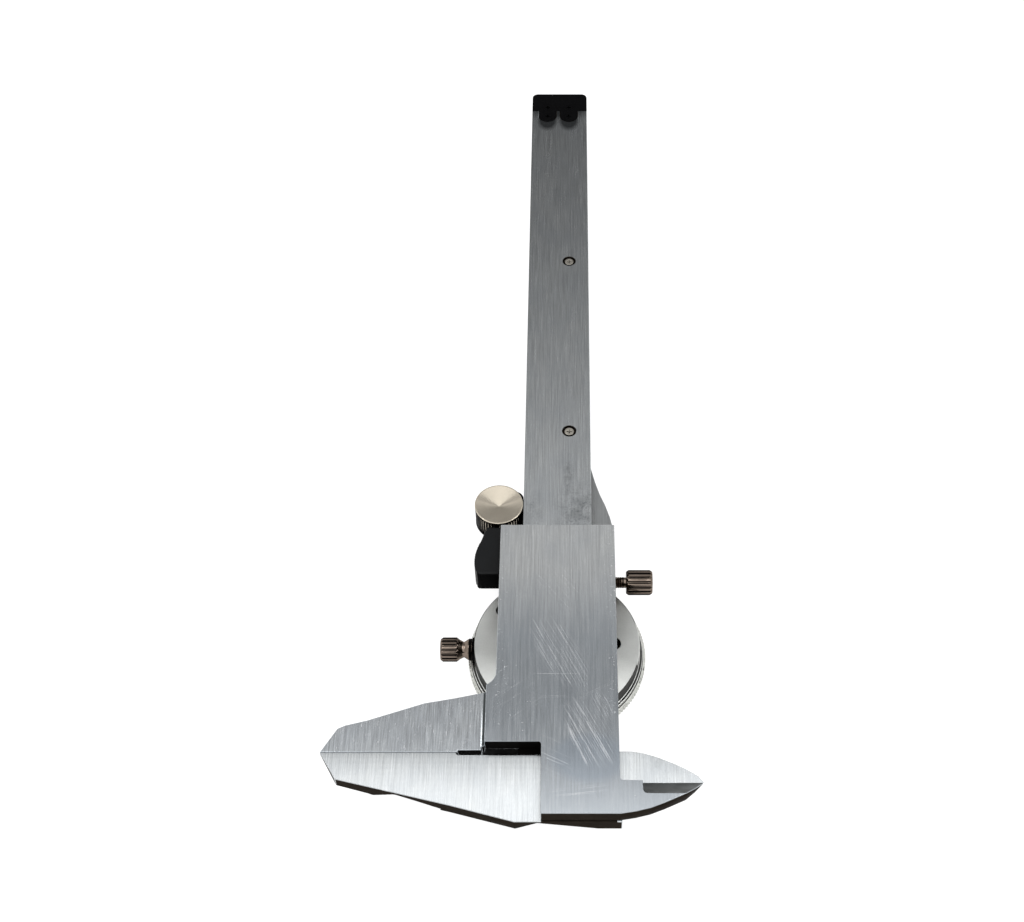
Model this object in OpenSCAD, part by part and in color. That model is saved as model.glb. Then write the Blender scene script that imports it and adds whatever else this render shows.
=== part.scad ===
// Dial caliper, six inch, jaws closed.
// X runs towards the inside jaws, Y along the beam away from the jaws, Z up out of the beam's back.
// The origin is the zero line of the fixed jaw, on the beam's centre line, in the plane of the beam's back.
// The dial hangs under the beam, on its front.

/* [Beam] */
// Width of the beam
beam_w = 16; // [15:0.5:20]
// Thickness of the beam
beam_t = 3.6; // [3.4:0.1:5]
// Distance from the zero line to the far end of the beam
beam_end = 217.9; // [215:1:240]
// Depth of the head below the zero line
head_drop = 15.6; // [14:0.2:18]
// Distance from the centre line to the right side of the head
head_right = 13.65; // [13:0.05:16]
// Height of the inside jaw's top edge above the zero line
head_top = 0.3; // [0.1:0.1:0.5]
// Radius of the far corners
beam_corner = 1.6; // [0.5:0.1:3]

/* [Jaws] */
// Reach of the outside jaws from the centre line
jaw_reach = 49.7; // [40:0.5:60]
// Height of the moving outside jaw at its root
moving_jaw_rise = 15.2; // [13:0.2:18]
// Reach of the inside jaws from the centre line
nib_reach = 30.8; // [27:0.2:36]
// Depth of the inside jaws' knife line below the zero line
nib_line = 7; // [6:0.5:8]
// Length of the relieved stretch at the root of the outside jaws
relief_len = 12.7; // [8:0.5:16]
// Depth of that relief
relief_depth = 0.5; // [0.3:0.1:1]
// Gap between the closed measuring faces
closed_gap = 0.06; // [0.02:0.01:0.1]
// Thickness left on the jaw tips by the blade bevel
blade_t = 1.1; // [0.6:0.1:2]
// Length of the bevelled blade from the tip
blade_len = 15; // [8:1:20]
// Width of the blade bevel across the jaw
blade_w = 8; // [4:0.5:10]
// Width of the inside jaws' knife bevel
knife_w = 4; // [2.5:0.5:5]

/* [Slider] */
// Distance from the dial case to the slider's far end
slider_past = 8.4; // [7:0.2:12]
// How far the right rail stands out past the plate
rail_step = 0.2; // [0.1:0.1:0.5]
// Half width of the slider
slider_half = 13; // [12.5:0.1:14]
// Thickness of the slider's back plate
plate_t = 3.4; // [2.4:0.1:4]
// Half width of the plate beside the moving jaw
wing_half = 15; // [14.5:0.1:17]
// Height of that wider stretch
wing_top = 14.2; // [12:0.2:16]
// Radius of the fillet above the wider stretch
wing_fillet = 3.4; // [2:0.2:5]
// Height of the plate's lower edge above the zero line
notch_top = 0.8; // [0.6:0.1:2]
// Distance from the centre line to the left side of the leg
leg_left = 3.1; // [2:0.1:5]
// Depth of the leg below the zero line
leg_drop = 15.5; // [14:0.1:17]
// Radius of the leg's inner corners
leg_corner = 0.7; // [0.4:0.1:1.2]
// Radius of the fillet between the moving jaw and the plate's side
step_fillet = 1.2; // [0.5:0.1:1.6]
// Sliding clearance between slider and beam
slide_gap = 0.04; // [0.02:0.01:0.06]
// Thickness of the gib strip
gib_t = 0.6; // [0.4:0.1:0.8]

/* [Front plate] */
// Thickness of the front plate
front_t = 1.3; // [1:0.1:2]
// Length of the tail past the slider's far end
tail_len = 29.2; // [25:0.2:38]
// Half width of the tail
tail_half = 7.4; // [6.5:0.1:7.8]
// Start of the tail's curve past the slider's end
tail_curve_start = 4; // [2:0.5:8]
// Length of the window over the beam's scale
window_len = 22; // [14:0.5:23]
// Width of that window
window_w = 2.4; // [1.8:0.1:2.6]

/* [Rack and gears] */
// Tooth pitch of the rack, twenty teeth to the inch
rack_pitch = 1.27; // [1.2:0.01:1.34]
// Width of the rack
rack_w = 3.2; // [3:0.1:3.8]
// Thickness of the rack
rack_t = 1.85; // [1.5:0.05:2.2]
// Distance from the zero line to the start of the rack
rack_start = 24; // [20:1:26]
// Distance from the zero line to the end of the rack
rack_end = 202; // [195:1:205]
// Width of the rib between the depth rod's groove and the rack's groove
groove_rib = 0.63; // [0.5:0.01:0.8]
// Teeth of the rack pinion
rack_pinion_teeth = 12; // [11:1:13]
// Teeth of the two large gears
wheel_teeth = 60; // [56:4:64]
// Teeth of the centre pinion
centre_teeth = 10; // [10:2:12]
// Clearance between the large gears and the case wall
wheel_gap = 0.975; // [0.6:0.025:1.6]
// Backlash of the meshes as a share of the pitch
backlash_share = 0.05; // [0.03:0.01:0.1]
// Thickness of the large gears
wheel_t = 0.7; // [0.5:0.1:0.8]
// Radius of the rack pinion's arbor
arbor_r = 0.75; // [0.6:0.05:0.9]
// Radius of the pivots
pivot_r = 0.4; // [0.3:0.05:0.5]
// Running clearance of pivots and arbors
run_gap = 0.05; // [0.03:0.01:0.08]

/* [Dial] */
// Distance of the dial's centre from the zero line
dial_y = 29.7; // [28:0.1:31]
// Radius of the case
case_r = 18.7; // [18:0.1:20]
// Wall of the case
case_wall = 1.3; // [1:0.1:1.5]
// Height of the case's outer wall
case_h = 3.6; // [3.4:0.1:4.2]
// Thickness of the rim at the foot of the wall
rim_t = 0.5; // [0.4:0.1:0.8]
// How far that rim stands out
rim_out = 0.7; // [0.4:0.1:0.9]
// Length of the spigot that carries the bezel
spigot_len = 1.8; // [1.6:0.1:2.4]
// Radius of the two back holes
back_hole_r = 1.65; // [1.2:0.05:1.8]
// How far the bezel stands out past the case wall
bezel_out = 1.4; // [1.2:0.1:2.4]
// Height of the bezel
bezel_h = 4.6; // [4.4:0.1:6]
// Gap between case rim and bezel
bezel_gap = 0.3; // [0.2:0.05:0.5]
// Number of ribs round the bezel
bezel_ribs = 150; // [60:10:180]
// Depth of the bezel's ribs
bezel_rib_depth = 0.3; // [0.2:0.05:0.4]
// Height of the bezel's ribbed band
bezel_band = 2; // [1.5:0.1:2.8]
// How far the bezel narrows in front of the band
bezel_taper = 1.2; // [0.6:0.1:1.4]
// Thickness of the crystal
crystal_t = 1; // [0.8:0.1:1.2]
// Thickness of the dial face
face_t = 0.4; // [0.3:0.1:0.5]
// Length of the needle
needle_len = 13.5; // [10:0.5:15]

/* [Roller and thumb rest] */
// Radius of the thumb roller
roller_r = 5.7; // [4.5:0.1:6]
// Height of the roller
roller_h = 5.6; // [5:0.1:6]
// Distance of the roller's axis past the slider's end
roller_past = 7.9; // [7.5:0.1:9]
// Number of ribs round the roller
roller_ribs = 48; // [24:4:60]
// Depth of the roller's ribs
roller_rib_depth = 0.25; // [0.15:0.05:0.35]
// Thickness of the roller's bracket
bracket_t = 0.8; // [0.6:0.1:1]
// Height of the thumb rest
rest_h = 6.4; // [5:0.1:7]
// Length of the thumb rest along the beam
rest_len = 13.2; // [10:0.2:14]
// How far the thumb rest stands out from the slider
rest_out = 6.1; // [4:0.1:7]

/* [Screws] */
// Radius of the small screws' shanks
screw_r = 0.8; // [0.6:0.05:0.9]
// Radius of the small screws' heads
screw_head_r = 1.3; // [1.1:0.05:1.4]
// Height of the small screws' heads
screw_head_h = 0.6; // [0.4:0.05:0.65]
// Radius of the slide lock's stem
lock_stem_r = 1.2; // [1:0.05:1.3]
// Radius of the lock screws' knobs
lock_knob_r = 2.9; // [2.2:0.1:3]
// Length of the lock screws' knobs
lock_knob_len = 6; // [4:0.2:8]
// Number of ribs round the lock screws' knobs
lock_ribs = 16; // [12:1:20]
// Clearance round screws and pins that stay put
screw_gap = 0.03; // [0.02:0.01:0.05]

/* [Depth rod] */
// Width of the depth rod
rod_w = 2.3; // [1.8:0.1:2.5]
// Thickness of the depth rod
rod_t = 1.1; // [0.8:0.1:1.2]
// Width of the beam left beside the depth rod
rod_wall = 0.95; // [0.8:0.05:1.2]
// Length of the end stop along the beam
stop_len = 7.8; // [7:0.2:9]
// Thickness of the end stop and of the rod's keeper
stop_t = 0.8; // [0.6:0.05:0.9]

/* [Hidden] */
$fn = 96;

// How far a cutter runs past the face that it cuts
over = 1;
// Gap between pieces that touch in the real tool
seat_gap = 0.05;

// Levels through the thickness, from the back down to the dial's front
plate_bottom = seat_gap;
plate_top = plate_bottom + plate_t;
beam_front = -beam_t;
rail_bottom = beam_front - seat_gap;
front_bottom = rail_bottom - front_t;
case_floor = front_bottom - case_wall;
rim_bottom = front_bottom - case_h - rim_t;
bezel_top = rim_bottom - bezel_gap;
bezel_bottom = bezel_top - bezel_h;
spigot_bottom = rim_bottom - spigot_len;

// Groove floor of the rack and the depth rod
groove_floor = -beam_t + rack_t + seat_gap * 4;
web_t = -groove_floor;

// Outlines of the jaws, as shares of reach and of the height at the root
fixed_jaw_shares = [[1, 0], [0.926, 0.391], [0.439, 0.769], [0.171, 1]];
moving_jaw_shares = [[0.439, 0.855], [0.569, 0.776], [0.811, 0.5], [0.903, 0.421], [0.936, 0.368], [1, 0]];
nib_top_shares = [
    [0.516, 0], [0.597, 0.055], [0.695, 0.19], [0.795, 0.37],
    [0.89, 0.575], [0.964, 0.78], [0.994, 0.96], [1, 1]
];
nib_bottom_shares = [
    [0.529, 0.94], [0.627, 0.85], [0.724, 0.71], [0.825, 0.54], [0.867, 0.47], [0.93, 0.27], [1, 0]
];
tail_curve_shares = [
    [1, 0], [0.88, 0.13], [0.7, 0.27], [0.47, 0.41], [0.28, 0.56], [0.12, 0.72], [0.03, 0.87], [0, 1]
];
knife_from_head = 4.2;
knife_start = head_right + knife_from_head;
knife_round = 0.9;
shoulder_drop = 1.05;

// Hollows ground into the front of the fixed jaw's lower edge: left end, deepest place, right end and height,
// as shares of the reach, and the height as a share of the head's depth
hollow_shares = [[-0.785, -0.67, -0.483, 0.59], [-0.171, -0.076, 0.193, 1]];
hollow_depth = 2.6;
hollow_width = 7.5;

// Slider rails and gib
slider_end = dial_y + case_r + slider_past;
rail_in = beam_w / 2 + slide_gap;
gib_out = rail_in + gib_t;
rail_right = slider_half + rail_step;
rail_mid_z = (plate_bottom + rail_bottom) / 2;
gib_h_share = 0.86;
gib_screw_ys = [slider_end * 0.14, slider_end * 0.42, slider_end * 0.93];
front_screw_deep = beam_t * 0.7;
front_screw_places = [
    [-(rail_in + slider_half) / 2, slider_end * 0.08], [-(rail_in + slider_half) / 2, slider_end * 0.965],
    [(gib_out + rail_right) / 2, slider_end * 0.05], [(gib_out + rail_right) / 2, slider_end * 0.86]
];

// Depth rod
rod_x = beam_w / 2 - rod_wall - rod_w / 2;
rod_top = groove_floor - seat_gap;
rod_bottom = rod_top - rod_t;
rod_from_end = 8;
rod_start = slider_end - rod_from_end;
rod_side_gap = 0.1;
rod_block_len = 6;
rod_groove_lead = 2;
rod_groove_start = rod_start - rod_groove_lead;
rod_rivet_y = rod_start + rod_block_len / 2;

// Rack and its pinion, laid out from the depth rod's groove to the right
rack_module = rack_pitch / PI;
pressure_angle = 20;
long_addendum_share = 1;
short_addendum_share = 0.7;
dedendum_share = 1.2;
rack_pinion_pitch_r = rack_module * rack_pinion_teeth / 2;
rack_pinion_tip_r = rack_pinion_pitch_r + long_addendum_share * rack_module;
rack_gap = 0.25;
rack_groove_left = -rod_x + rod_w / 2 + rod_side_gap + groove_rib;
rack_pinion_x = rack_groove_left + rack_gap + rack_pinion_tip_r;
rack_pitch_x = rack_pinion_x + rack_pinion_pitch_r;
rack_x = rack_pitch_x - short_addendum_share * rack_module + rack_w / 2;
rack_bottom = groove_floor - rack_t;
rack_screw_pitch = (rack_end - rack_start) / 3;
screw_from_end = 4.45;
rack_head_r = 1.15;
rack_screw_ys = [for (i = [0:2]) rack_start + screw_from_end + i * rack_screw_pitch];
counterbore_gap = 0.5;
head_sink = 0.15;

// Gear centres: the wheels sit on opposite sides of the centre pinion and reach almost to the case wall
spigot_in = case_r - case_wall;
gear_module = (spigot_in - wheel_gap) / (centre_teeth / 2 + wheel_teeth + short_addendum_share);
wheel_pitch_r = gear_module * wheel_teeth / 2;
gear_centres = gear_module * centre_teeth / 2 + wheel_pitch_r;
wheel_dy = sqrt(pow(gear_centres, 2) - pow(rack_pinion_x, 2));
rack_pinion_y = dial_y + wheel_dy;
wheel_angle = atan2(wheel_dy, rack_pinion_x);
take_up_x = -rack_pinion_x;
take_up_y = dial_y - wheel_dy;

// Levels of the gears inside the case
gear_gap = 0.7;
transfer_top = case_floor - gear_gap;
take_up_top = transfer_top - wheel_t - 0.4 * gear_gap;
centre_top = transfer_top + 0.2 * gear_gap;
spring_h = 0.35;
spring_top = take_up_top - wheel_t - spring_h / 2;
bridge_top = spring_top - spring_h * 1.7;
bridge_t = 0.7;
bridge_bottom = bridge_top - bridge_t;
centre_arbor_r = 0.6;

// Bush, bridge and the screws inside the case
bush_r = 3.05;
bush_flange = 0.1;
pillar_r = 1.3;
pillar_wall_gap = 4.2;
pillar_at = spigot_in - pillar_wall_gap;
pillar_angles = [25, -25, 180];
bridge_wall_gap = 2.4;
bridge_r = spigot_in - bridge_wall_gap;
bridge_half = wheel_dy + 2.2 * pillar_r;
bridge_screw_r = 0.6;
bridge_screw_deep = 1.6;
bridge_head_h = 0.35;
case_screw_angles = [45, 135, 270];
case_screw_wall_gap = 5.9;
case_screw_at = spigot_in - case_screw_wall_gap;
back_hole_shares = [[0.679, 0.011], [-0.652, 0.481]];

// Hairspring: turns, inner radius, step per turn and thickness of the wire
spring_turns = 5;
spring_in = 1.15;
spring_step = 0.55;
spring_wire = 0.12;

// Bezel stack
bezel_r = case_r + bezel_out;
spigot_step = 0.4;
spigot_r = case_r - spigot_step;
bezel_in = spigot_r + run_gap;
lip_over = 0.1;
lip_in = spigot_in - lip_over;
lip_t = 0.6;
case_edge = 0.2;
bezel_edge = 0.4;
bezel_face_edge = 0.3;
band_bottom = bezel_top - bezel_band;
rib_sink = 0.1;
face_gap = 0.2;
face_top = spigot_bottom - face_gap;
face_bottom = face_top - face_t;
crystal_bottom = bezel_bottom + lip_t;
crystal_top = crystal_bottom + crystal_t;
spacer_wall = 0.7;
groove_half = 0.25;
groove_depth = 0.35;
groove_mid = (rim_bottom + spigot_bottom) / 2;

// Window in the front plate, between the rack's groove and the beam's side
window_lead = 2.2;
window_start = slider_end - window_lead;
window_side = 0.7;
window_right = beam_w / 2 - window_side;

// Needle: half widths at boss, root and point, and the thickness
needle_top = face_bottom - (face_bottom - crystal_top) * 0.35;
needle_t = 0.15;
needle_boss_r = 1.5;
needle_root = 0.55;
needle_point = 0.12;
arbor_hole_gap = 0.5;

// Roller and its bracket
roller_gap = 0.1;
roller_x = -(beam_w / 2 + roller_gap + roller_r);
roller_y = slider_end + roller_past;
bracket_top = front_bottom;
roller_lift = 0.15;
roller_bottom = bracket_top + roller_lift;
roller_top = roller_bottom + roller_h;
pin_r = 1.25;
bracket_screw_x = -tail_half * 0.45;
bracket_screw_off = 2.8;
tongue_r = 2.2;
tongue_x = -(beam_w / 2 + roller_gap * 2 + tongue_r);
tongue_y = roller_y + roller_r + roller_gap * 3;
bracket_screw_ys = [roller_y - bracket_screw_off, roller_y + bracket_screw_off];

// Thumb rest: a moulded pad with a bulging serrated side
rest_drop = 0.2;
rest_past = 2;
rest_top = -rest_drop;
rest_bottom = rest_top - rest_h;
rest_low = slider_end - rest_len + rest_past;
rest_screw_y = rest_low + rest_len * 0.45;
rest_screw_deep = 3.4;
rest_shares = [
    [0.92, 0], [0.975, 0.13], [1, 0.28], [0.97, 0.42], [0.885, 0.56], [0.76, 0.72], [0.67, 0.86], [0.56, 1]
];
serrations = 12;

// Lock screws
slide_lock_from_end = 12.6;
slide_lock_y = slider_end - slide_lock_from_end;
slide_lock_neck = 2.55;
knob_edge_share = 0.2;
bezel_lock_down = 0.4;
bezel_lock_up = 0.1;
bezel_lock_y = dial_y - bezel_lock_down;
bezel_lock_z = (front_bottom + rim_bottom + rim_t) / 2 + bezel_lock_up;
bezel_stem_r = 0.8;
bezel_stem_len = 1.9;
clamp_t = 0.7;
clamp_half = 2.4;
clamp_sink = 0.35;
clamp_drop = 0.4;

// End stop on the back and the rod's keeper on the front
stop_pocket = stop_t + seat_gap;
stop_lobe_r = 2.5;
stop_lobe_drop = 2.4;
stop_screw_side = 0.35;
stop_screw_xs = [-rod_x + rod_w / 2 + rod_side_gap + screw_r + stop_screw_side, beam_w * 0.169];
stop_screw_ys = [beam_end - stop_len - stop_lobe_drop, beam_end - stop_len + stop_lobe_r * 0.6];
stop_screw_deep = beam_t * 0.7;
keeper_screw_xs = [-beam_w * 0.025, beam_w * 0.34];
keeper_screw_y = beam_end - stop_len * 0.42;
keeper_screw_deep = beam_t * 0.55;

// Flank of a true involute, and the outline of a gear built from it
function involute(base_r, r) =
    let (t = sqrt(max(0, pow(r / base_r, 2) - 1))) t * 180 / PI - atan(t);
function polar(r, a) = [r * cos(a), r * sin(a)];
function half_tooth(teeth, m, r) =
    let (pitch_r = m * teeth / 2, base_r = pitch_r * cos(pressure_angle))
    90 / teeth * (1 - backlash_share * 2) + involute(base_r, pitch_r) - involute(base_r, max(r, base_r));

module gear_outline(teeth, m, addendum_share, steps = 3) {
    pitch_r = m * teeth / 2;
    base_r = pitch_r * cos(pressure_angle);
    root_r = pitch_r - dedendum_share * m;
    tip_r = pitch_r + addendum_share * m;
    low_r = max(base_r, root_r);
    radii = [for (i = [0:steps]) low_r + (tip_r - low_r) * i / steps];
    polygon([for (k = [0:teeth - 1]) let (a = k * 360 / teeth) each concat(
        [polar(root_r, a - half_tooth(teeth, m, low_r))],
        [for (r = radii) polar(r, a - half_tooth(teeth, m, r))],
        [for (i = [steps:-1:0]) polar(radii[i], a + half_tooth(teeth, m, radii[i]))],
        [polar(root_r, a + half_tooth(teeth, m, low_r))]
    )]);
}

// A round outline with ribs, for knobs, roller and bezel
module ribbed_outline(r, ribs, depth) {
    polygon([for (k = [0:ribs - 1]) each [
        polar(r, (k - 0.22) * 360 / ribs),
        polar(r, (k + 0.22) * 360 / ribs),
        polar(r - depth, (k + 0.5) * 360 / ribs)
    ]]);
}

// A ribbed knob from the origin up, both ends eased
module ribbed_knob(r, len) {
    edge = r * knob_edge_share;
    intersection() {
        linear_extrude(height = len)
            ribbed_outline(r, lock_ribs, r * 0.12);
        rotate_extrude()
            polygon([
                [0, 0], [r - edge * 0.7, 0], [r, edge],
                [r, len - edge], [r - edge * 0.7, len], [0, len]
            ]);
    }
}

// A box from its lowest to its highest corner
module block(low, high) {
    translate(low)
        cube(high - low);
}

// A plate of the outline below it, between two levels
module slab(top, bottom) {
    translate([0, 0, bottom])
        linear_extrude(height = top - bottom)
            children();
}

// A round bar along Z between two levels
module bar(x, y, r, top, bottom) {
    translate([x, y, bottom])
        cylinder(r = r, h = top - bottom);
}

// A round bar along X between two places
module cross_bar(y, z, r, from_x, to_x) {
    translate([from_x, y, z])
        rotate([0, 90, 0])
            cylinder(r = r, h = to_x - from_x);
}

// A cross-headed screw with its head up, its seat at the origin
module pan_screw(shank, head_r = screw_head_r, head_h = screw_head_h, r = screw_r) {
    difference() {
        union() {
            cylinder(r = head_r, h = head_h);
            translate([0, 0, -shank])
                cylinder(r = r, h = shank + head_h / 2);
        }
        cross_recess(head_r, head_h);
    }
}

// A countersunk screw with its flat face at the origin
module flat_screw(shank, head_r = screw_head_r, r = screw_r) {
    difference() {
        union() {
            translate([0, 0, -(head_r - r)])
                cylinder(r1 = r, r2 = head_r, h = head_r - r);
            translate([0, 0, -shank])
                cylinder(r = r, h = shank);
        }
        cross_recess(head_r, 0);
    }
}

module cross_recess(head_r, top) {
    deep = head_r * 0.35;
    arm = head_r * 1.1;
    wide = head_r * 0.26;
    for (a = [0, 90])
        rotate([0, 0, a])
            translate([-arm / 2, -wide / 2, top - deep])
                cube([arm, wide, deep + over]);
}

// Hole for a flat screw, its face at the origin
module flat_screw_hole(deep) {
    sink = screw_head_r - screw_r;
    translate([0, 0, -sink - screw_gap])
        cylinder(r1 = screw_r + screw_gap, r2 = screw_head_r + screw_gap * 2, h = sink + screw_gap);
    translate([0, 0, -screw_gap])
        cylinder(r = screw_head_r + screw_gap * 2, h = over);
    translate([0, 0, -deep])
        cylinder(r = screw_r + screw_gap, h = deep + over);
}

// Wedge that thins a jaw towards its tip on the front side
module blade_cut(side) {
    translate([-jaw_reach - over, 0, 0])
        rotate([90, 0, 90])
            linear_extrude(height = blade_len + over)
                polygon([
                    [-side * over, beam_front - over],
                    [side * blade_w * (beam_t + over - blade_t) / (beam_t - blade_t), beam_front - over],
                    [0, -blade_t],
                    [-side * over, -blade_t]
                ]);
}

// Outlines of the beam
module beam_outline() {
    half = beam_w / 2;
    polygon(concat(
        [[half, beam_end - beam_corner], [-half, beam_end - beam_corner], [-half, -relief_depth]],
        [[-half - relief_len, -relief_depth], [-half - relief_len - relief_depth, 0]],
        [for (p = fixed_jaw_shares) [-p[0] * jaw_reach, -p[1] * head_drop]],
        [[head_right, -head_drop], [head_right, -nib_line]],
        [for (i = [len(nib_top_shares) - 1:-1:0])
            [nib_top_shares[i][0] * nib_reach, head_top - nib_top_shares[i][1] * (nib_line + head_top)]],
        [[half, head_top]]
    ));
    far_corners(beam_w);
}

module far_corners(w) {
    for (s = [-1, 1])
        translate([s * (w / 2 - beam_corner), beam_end - beam_corner])
            circle(r = beam_corner);
    translate([-w / 2 + beam_corner, beam_end - 2 * beam_corner])
        square([w - 2 * beam_corner, 2 * beam_corner]);
}

module beam() {
    color("silver")
        difference() {
            slab(0, beam_front)
                beam_outline();
            blade_cut(-1);
            nib_knife_cut();
            for (h = hollow_shares)
                edge_hollow(h);
            rack_groove();
            rod_groove();
            end_pockets();
            for (y = rack_screw_ys) {
                bar(rack_x, y, rack_head_r + counterbore_gap, over, -screw_head_h - head_sink);
                bar(rack_x, y, screw_r + screw_gap, over, groove_floor - over);
            }
        }
}

// Front bevel that turns the fixed inside jaw into a knife edge
module nib_knife_cut() {
    translate([knife_start, -nib_line, 0])
        rotate([90, 0, 90])
            linear_extrude(height = nib_reach)
                polygon([
                    [-over, 0],
                    [0, 0],
                    [knife_w * (beam_t + over) / beam_t, beam_front - over],
                    [-over, beam_front - over]
                ]);
}

// Three-sided hollow that fades out towards the measuring edge
module edge_hollow(shares) {
    edge_y = -head_drop * shares[3];
    tilt = atan(hollow_depth / hollow_width);
    translate([0, edge_y + hollow_width, beam_front])
        rotate([90 - tilt, 0, 0])
            linear_extrude(height = hollow_width * 2)
                polygon([
                    [shares[0] * jaw_reach, -hollow_depth],
                    [shares[1] * jaw_reach, 0],
                    [shares[2] * jaw_reach, -hollow_depth],
                    [shares[2] * jaw_reach, -hollow_depth * 3],
                    [shares[0] * jaw_reach, -hollow_depth * 3]
                ]);
}

module rack_groove() {
    slab(groove_floor, beam_front - over)
        translate([rack_groove_left, rack_start - seat_gap])
            square([
                rack_x + rack_w / 2 + seat_gap - rack_groove_left,
                rack_end - rack_start + 2 * seat_gap
            ]);
}

module rod_groove() {
    slab(groove_floor, beam_front - over)
        translate([-rod_x - rod_w / 2 - rod_side_gap, rod_groove_start])
            square([rod_w + 2 * rod_side_gap, beam_end]);
}

// Pockets for the end stop on the back and the rod's keeper on the front, and their screw holes
module end_pockets() {
    slab(over, -stop_pocket)
        stop_outline(seat_gap);
    slab(beam_front + stop_pocket, beam_front - over)
        translate([-beam_w, beam_end - stop_len - seat_gap])
            square([beam_w * 2, stop_len * 2]);
    for (x = stop_screw_xs)
        for (y = stop_screw_ys)
            bar(x, y, screw_r + screw_gap, 0, -stop_screw_deep);
    for (x = keeper_screw_xs)
        bar(x, keeper_screw_y, screw_r + screw_gap, beam_front + keeper_screw_deep, beam_front - over);
}

// The end stop's outline: a band across the beam with two round feet
module stop_outline(gap) {
    translate([-beam_w / 2 - gap, beam_end - stop_len - gap])
        square([beam_w + 2 * gap, stop_len - beam_corner + gap]);
    far_corners(beam_w);
    if (gap > 0)
        translate([-beam_w, beam_end - beam_corner])
            square([beam_w * 2, beam_corner + over]);
    for (x = stop_screw_xs) {
        translate([x, beam_end - stop_len - stop_lobe_drop])
            circle(r = stop_lobe_r + gap);
        translate([x - stop_lobe_r - gap, beam_end - stop_len - stop_lobe_drop])
            square([2 * (stop_lobe_r + gap), stop_lobe_drop + gap]);
    }
}

module end_stop() {
    color("#1c1c1e")
        difference() {
            slab(-seat_gap, -stop_pocket)
                stop_outline(0);
            for (x = stop_screw_xs)
                for (y = stop_screw_ys)
                    translate([x, y, -seat_gap])
                        flat_screw_hole(stop_pocket);
        }
}

module end_stop_screws() {
    color("#2a2a2c")
        for (x = stop_screw_xs)
            for (y = stop_screw_ys)
                translate([x, y, -seat_gap])
                    flat_screw(stop_screw_deep - 3 * seat_gap);
}

module rod_keeper() {
    color("#1c1c1e")
        difference() {
            slab(beam_front + stop_pocket, beam_front + seat_gap) {
                translate([-beam_w / 2, beam_end - stop_len])
                    square([beam_w, stop_len - beam_corner]);
                far_corners(beam_w);
            }
            for (x = keeper_screw_xs)
                translate([x, keeper_screw_y, beam_front + seat_gap])
                    rotate([180, 0, 0])
                        flat_screw_hole(stop_pocket);
        }
}

module rod_keeper_screws() {
    color("#2a2a2c")
        for (x = keeper_screw_xs)
            translate([x, keeper_screw_y, beam_front + seat_gap])
                rotate([180, 0, 0])
                    flat_screw(keeper_screw_deep - 3 * seat_gap);
}

// The rack: a strip with teeth on its left side, a gap facing the pinion
module rack_outline() {
    flank = tan(pressure_angle);
    tip = short_addendum_share * rack_module;
    root = dedendum_share * rack_module;
    half = rack_pitch / 4 * (1 - backlash_share * 2);
    first = ceil((rack_start - rack_pinion_y) / rack_pitch + 0.5);
    last = floor((rack_end - rack_pinion_y) / rack_pitch - 0.5);
    polygon(concat(
        [
            [rack_x + rack_w / 2, rack_end],
            [rack_x + rack_w / 2, rack_start],
            [rack_pitch_x + root, rack_start]
        ],
        [for (k = [first:last - 1]) let (y = rack_pinion_y + (k + 0.5) * rack_pitch) each [
            [rack_pitch_x + root, y - half - root * flank],
            [rack_pitch_x - tip, y - half + tip * flank],
            [rack_pitch_x - tip, y + half - tip * flank],
            [rack_pitch_x + root, y + half + root * flank]
        ]],
        [[rack_pitch_x + root, rack_end]]
    ));
}

module rack() {
    color("#b5b7ba")
        difference() {
            slab(groove_floor, rack_bottom)
                rack_outline();
            for (y = rack_screw_ys)
                bar(rack_x, y, screw_r + screw_gap, over, rack_bottom + rack_t / 4);
        }
}

module rack_screws() {
    color("#8a8278")
        for (y = rack_screw_ys)
            translate([rack_x, y, -screw_head_h - head_sink])
                pan_screw(web_t - screw_head_h - head_sink + rack_t * 0.6, head_r = rack_head_r);
}

// Back plate of the slider with its leg, without the inside jaw
module plate_outline() {
    translate([-slider_half, notch_top])
        square([slider_half * 2, slider_end - notch_top]);
    translate([-wing_half, notch_top])
        square([wing_half, wing_top - notch_top]);
    translate([-leg_left, -leg_drop])
        square([leg_left + rail_right, leg_drop + slider_end]);
    difference() {
        translate([-wing_half, wing_top])
            square([wing_half - slider_half + over, wing_fillet]);
        translate([-slider_half - wing_fillet, wing_top + wing_fillet])
            circle(r = wing_fillet);
    }
    difference() {
        translate([-leg_left - leg_corner, notch_top - leg_corner])
            square(leg_corner + over);
        translate([-leg_left - leg_corner, notch_top - leg_corner])
            circle(r = leg_corner);
    }
    nib_shoulder_outline();
}

// Moving inside jaw with the shoulder at its root
module nib_shoulder_outline() {
    shoulder = nib_line + shoulder_drop;
    difference() {
        polygon(concat(
            [[0, -leg_drop], [rail_right, -leg_drop]],
            [for (p = nib_bottom_shares) [p[0] * nib_reach, -nib_line - p[1] * (leg_drop - nib_line)]],
            [[knife_start, -nib_line], [knife_start, -shoulder], [0, -shoulder]]
        ));
        translate([knife_start - over, -shoulder])
            square([over, over * 2]);
    }
    difference() {
        translate([rail_right - over, -shoulder - over])
            square([over + leg_corner, over + leg_corner]);
        translate([rail_right + leg_corner, -shoulder + leg_corner])
            circle(r = leg_corner);
    }
}

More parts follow.
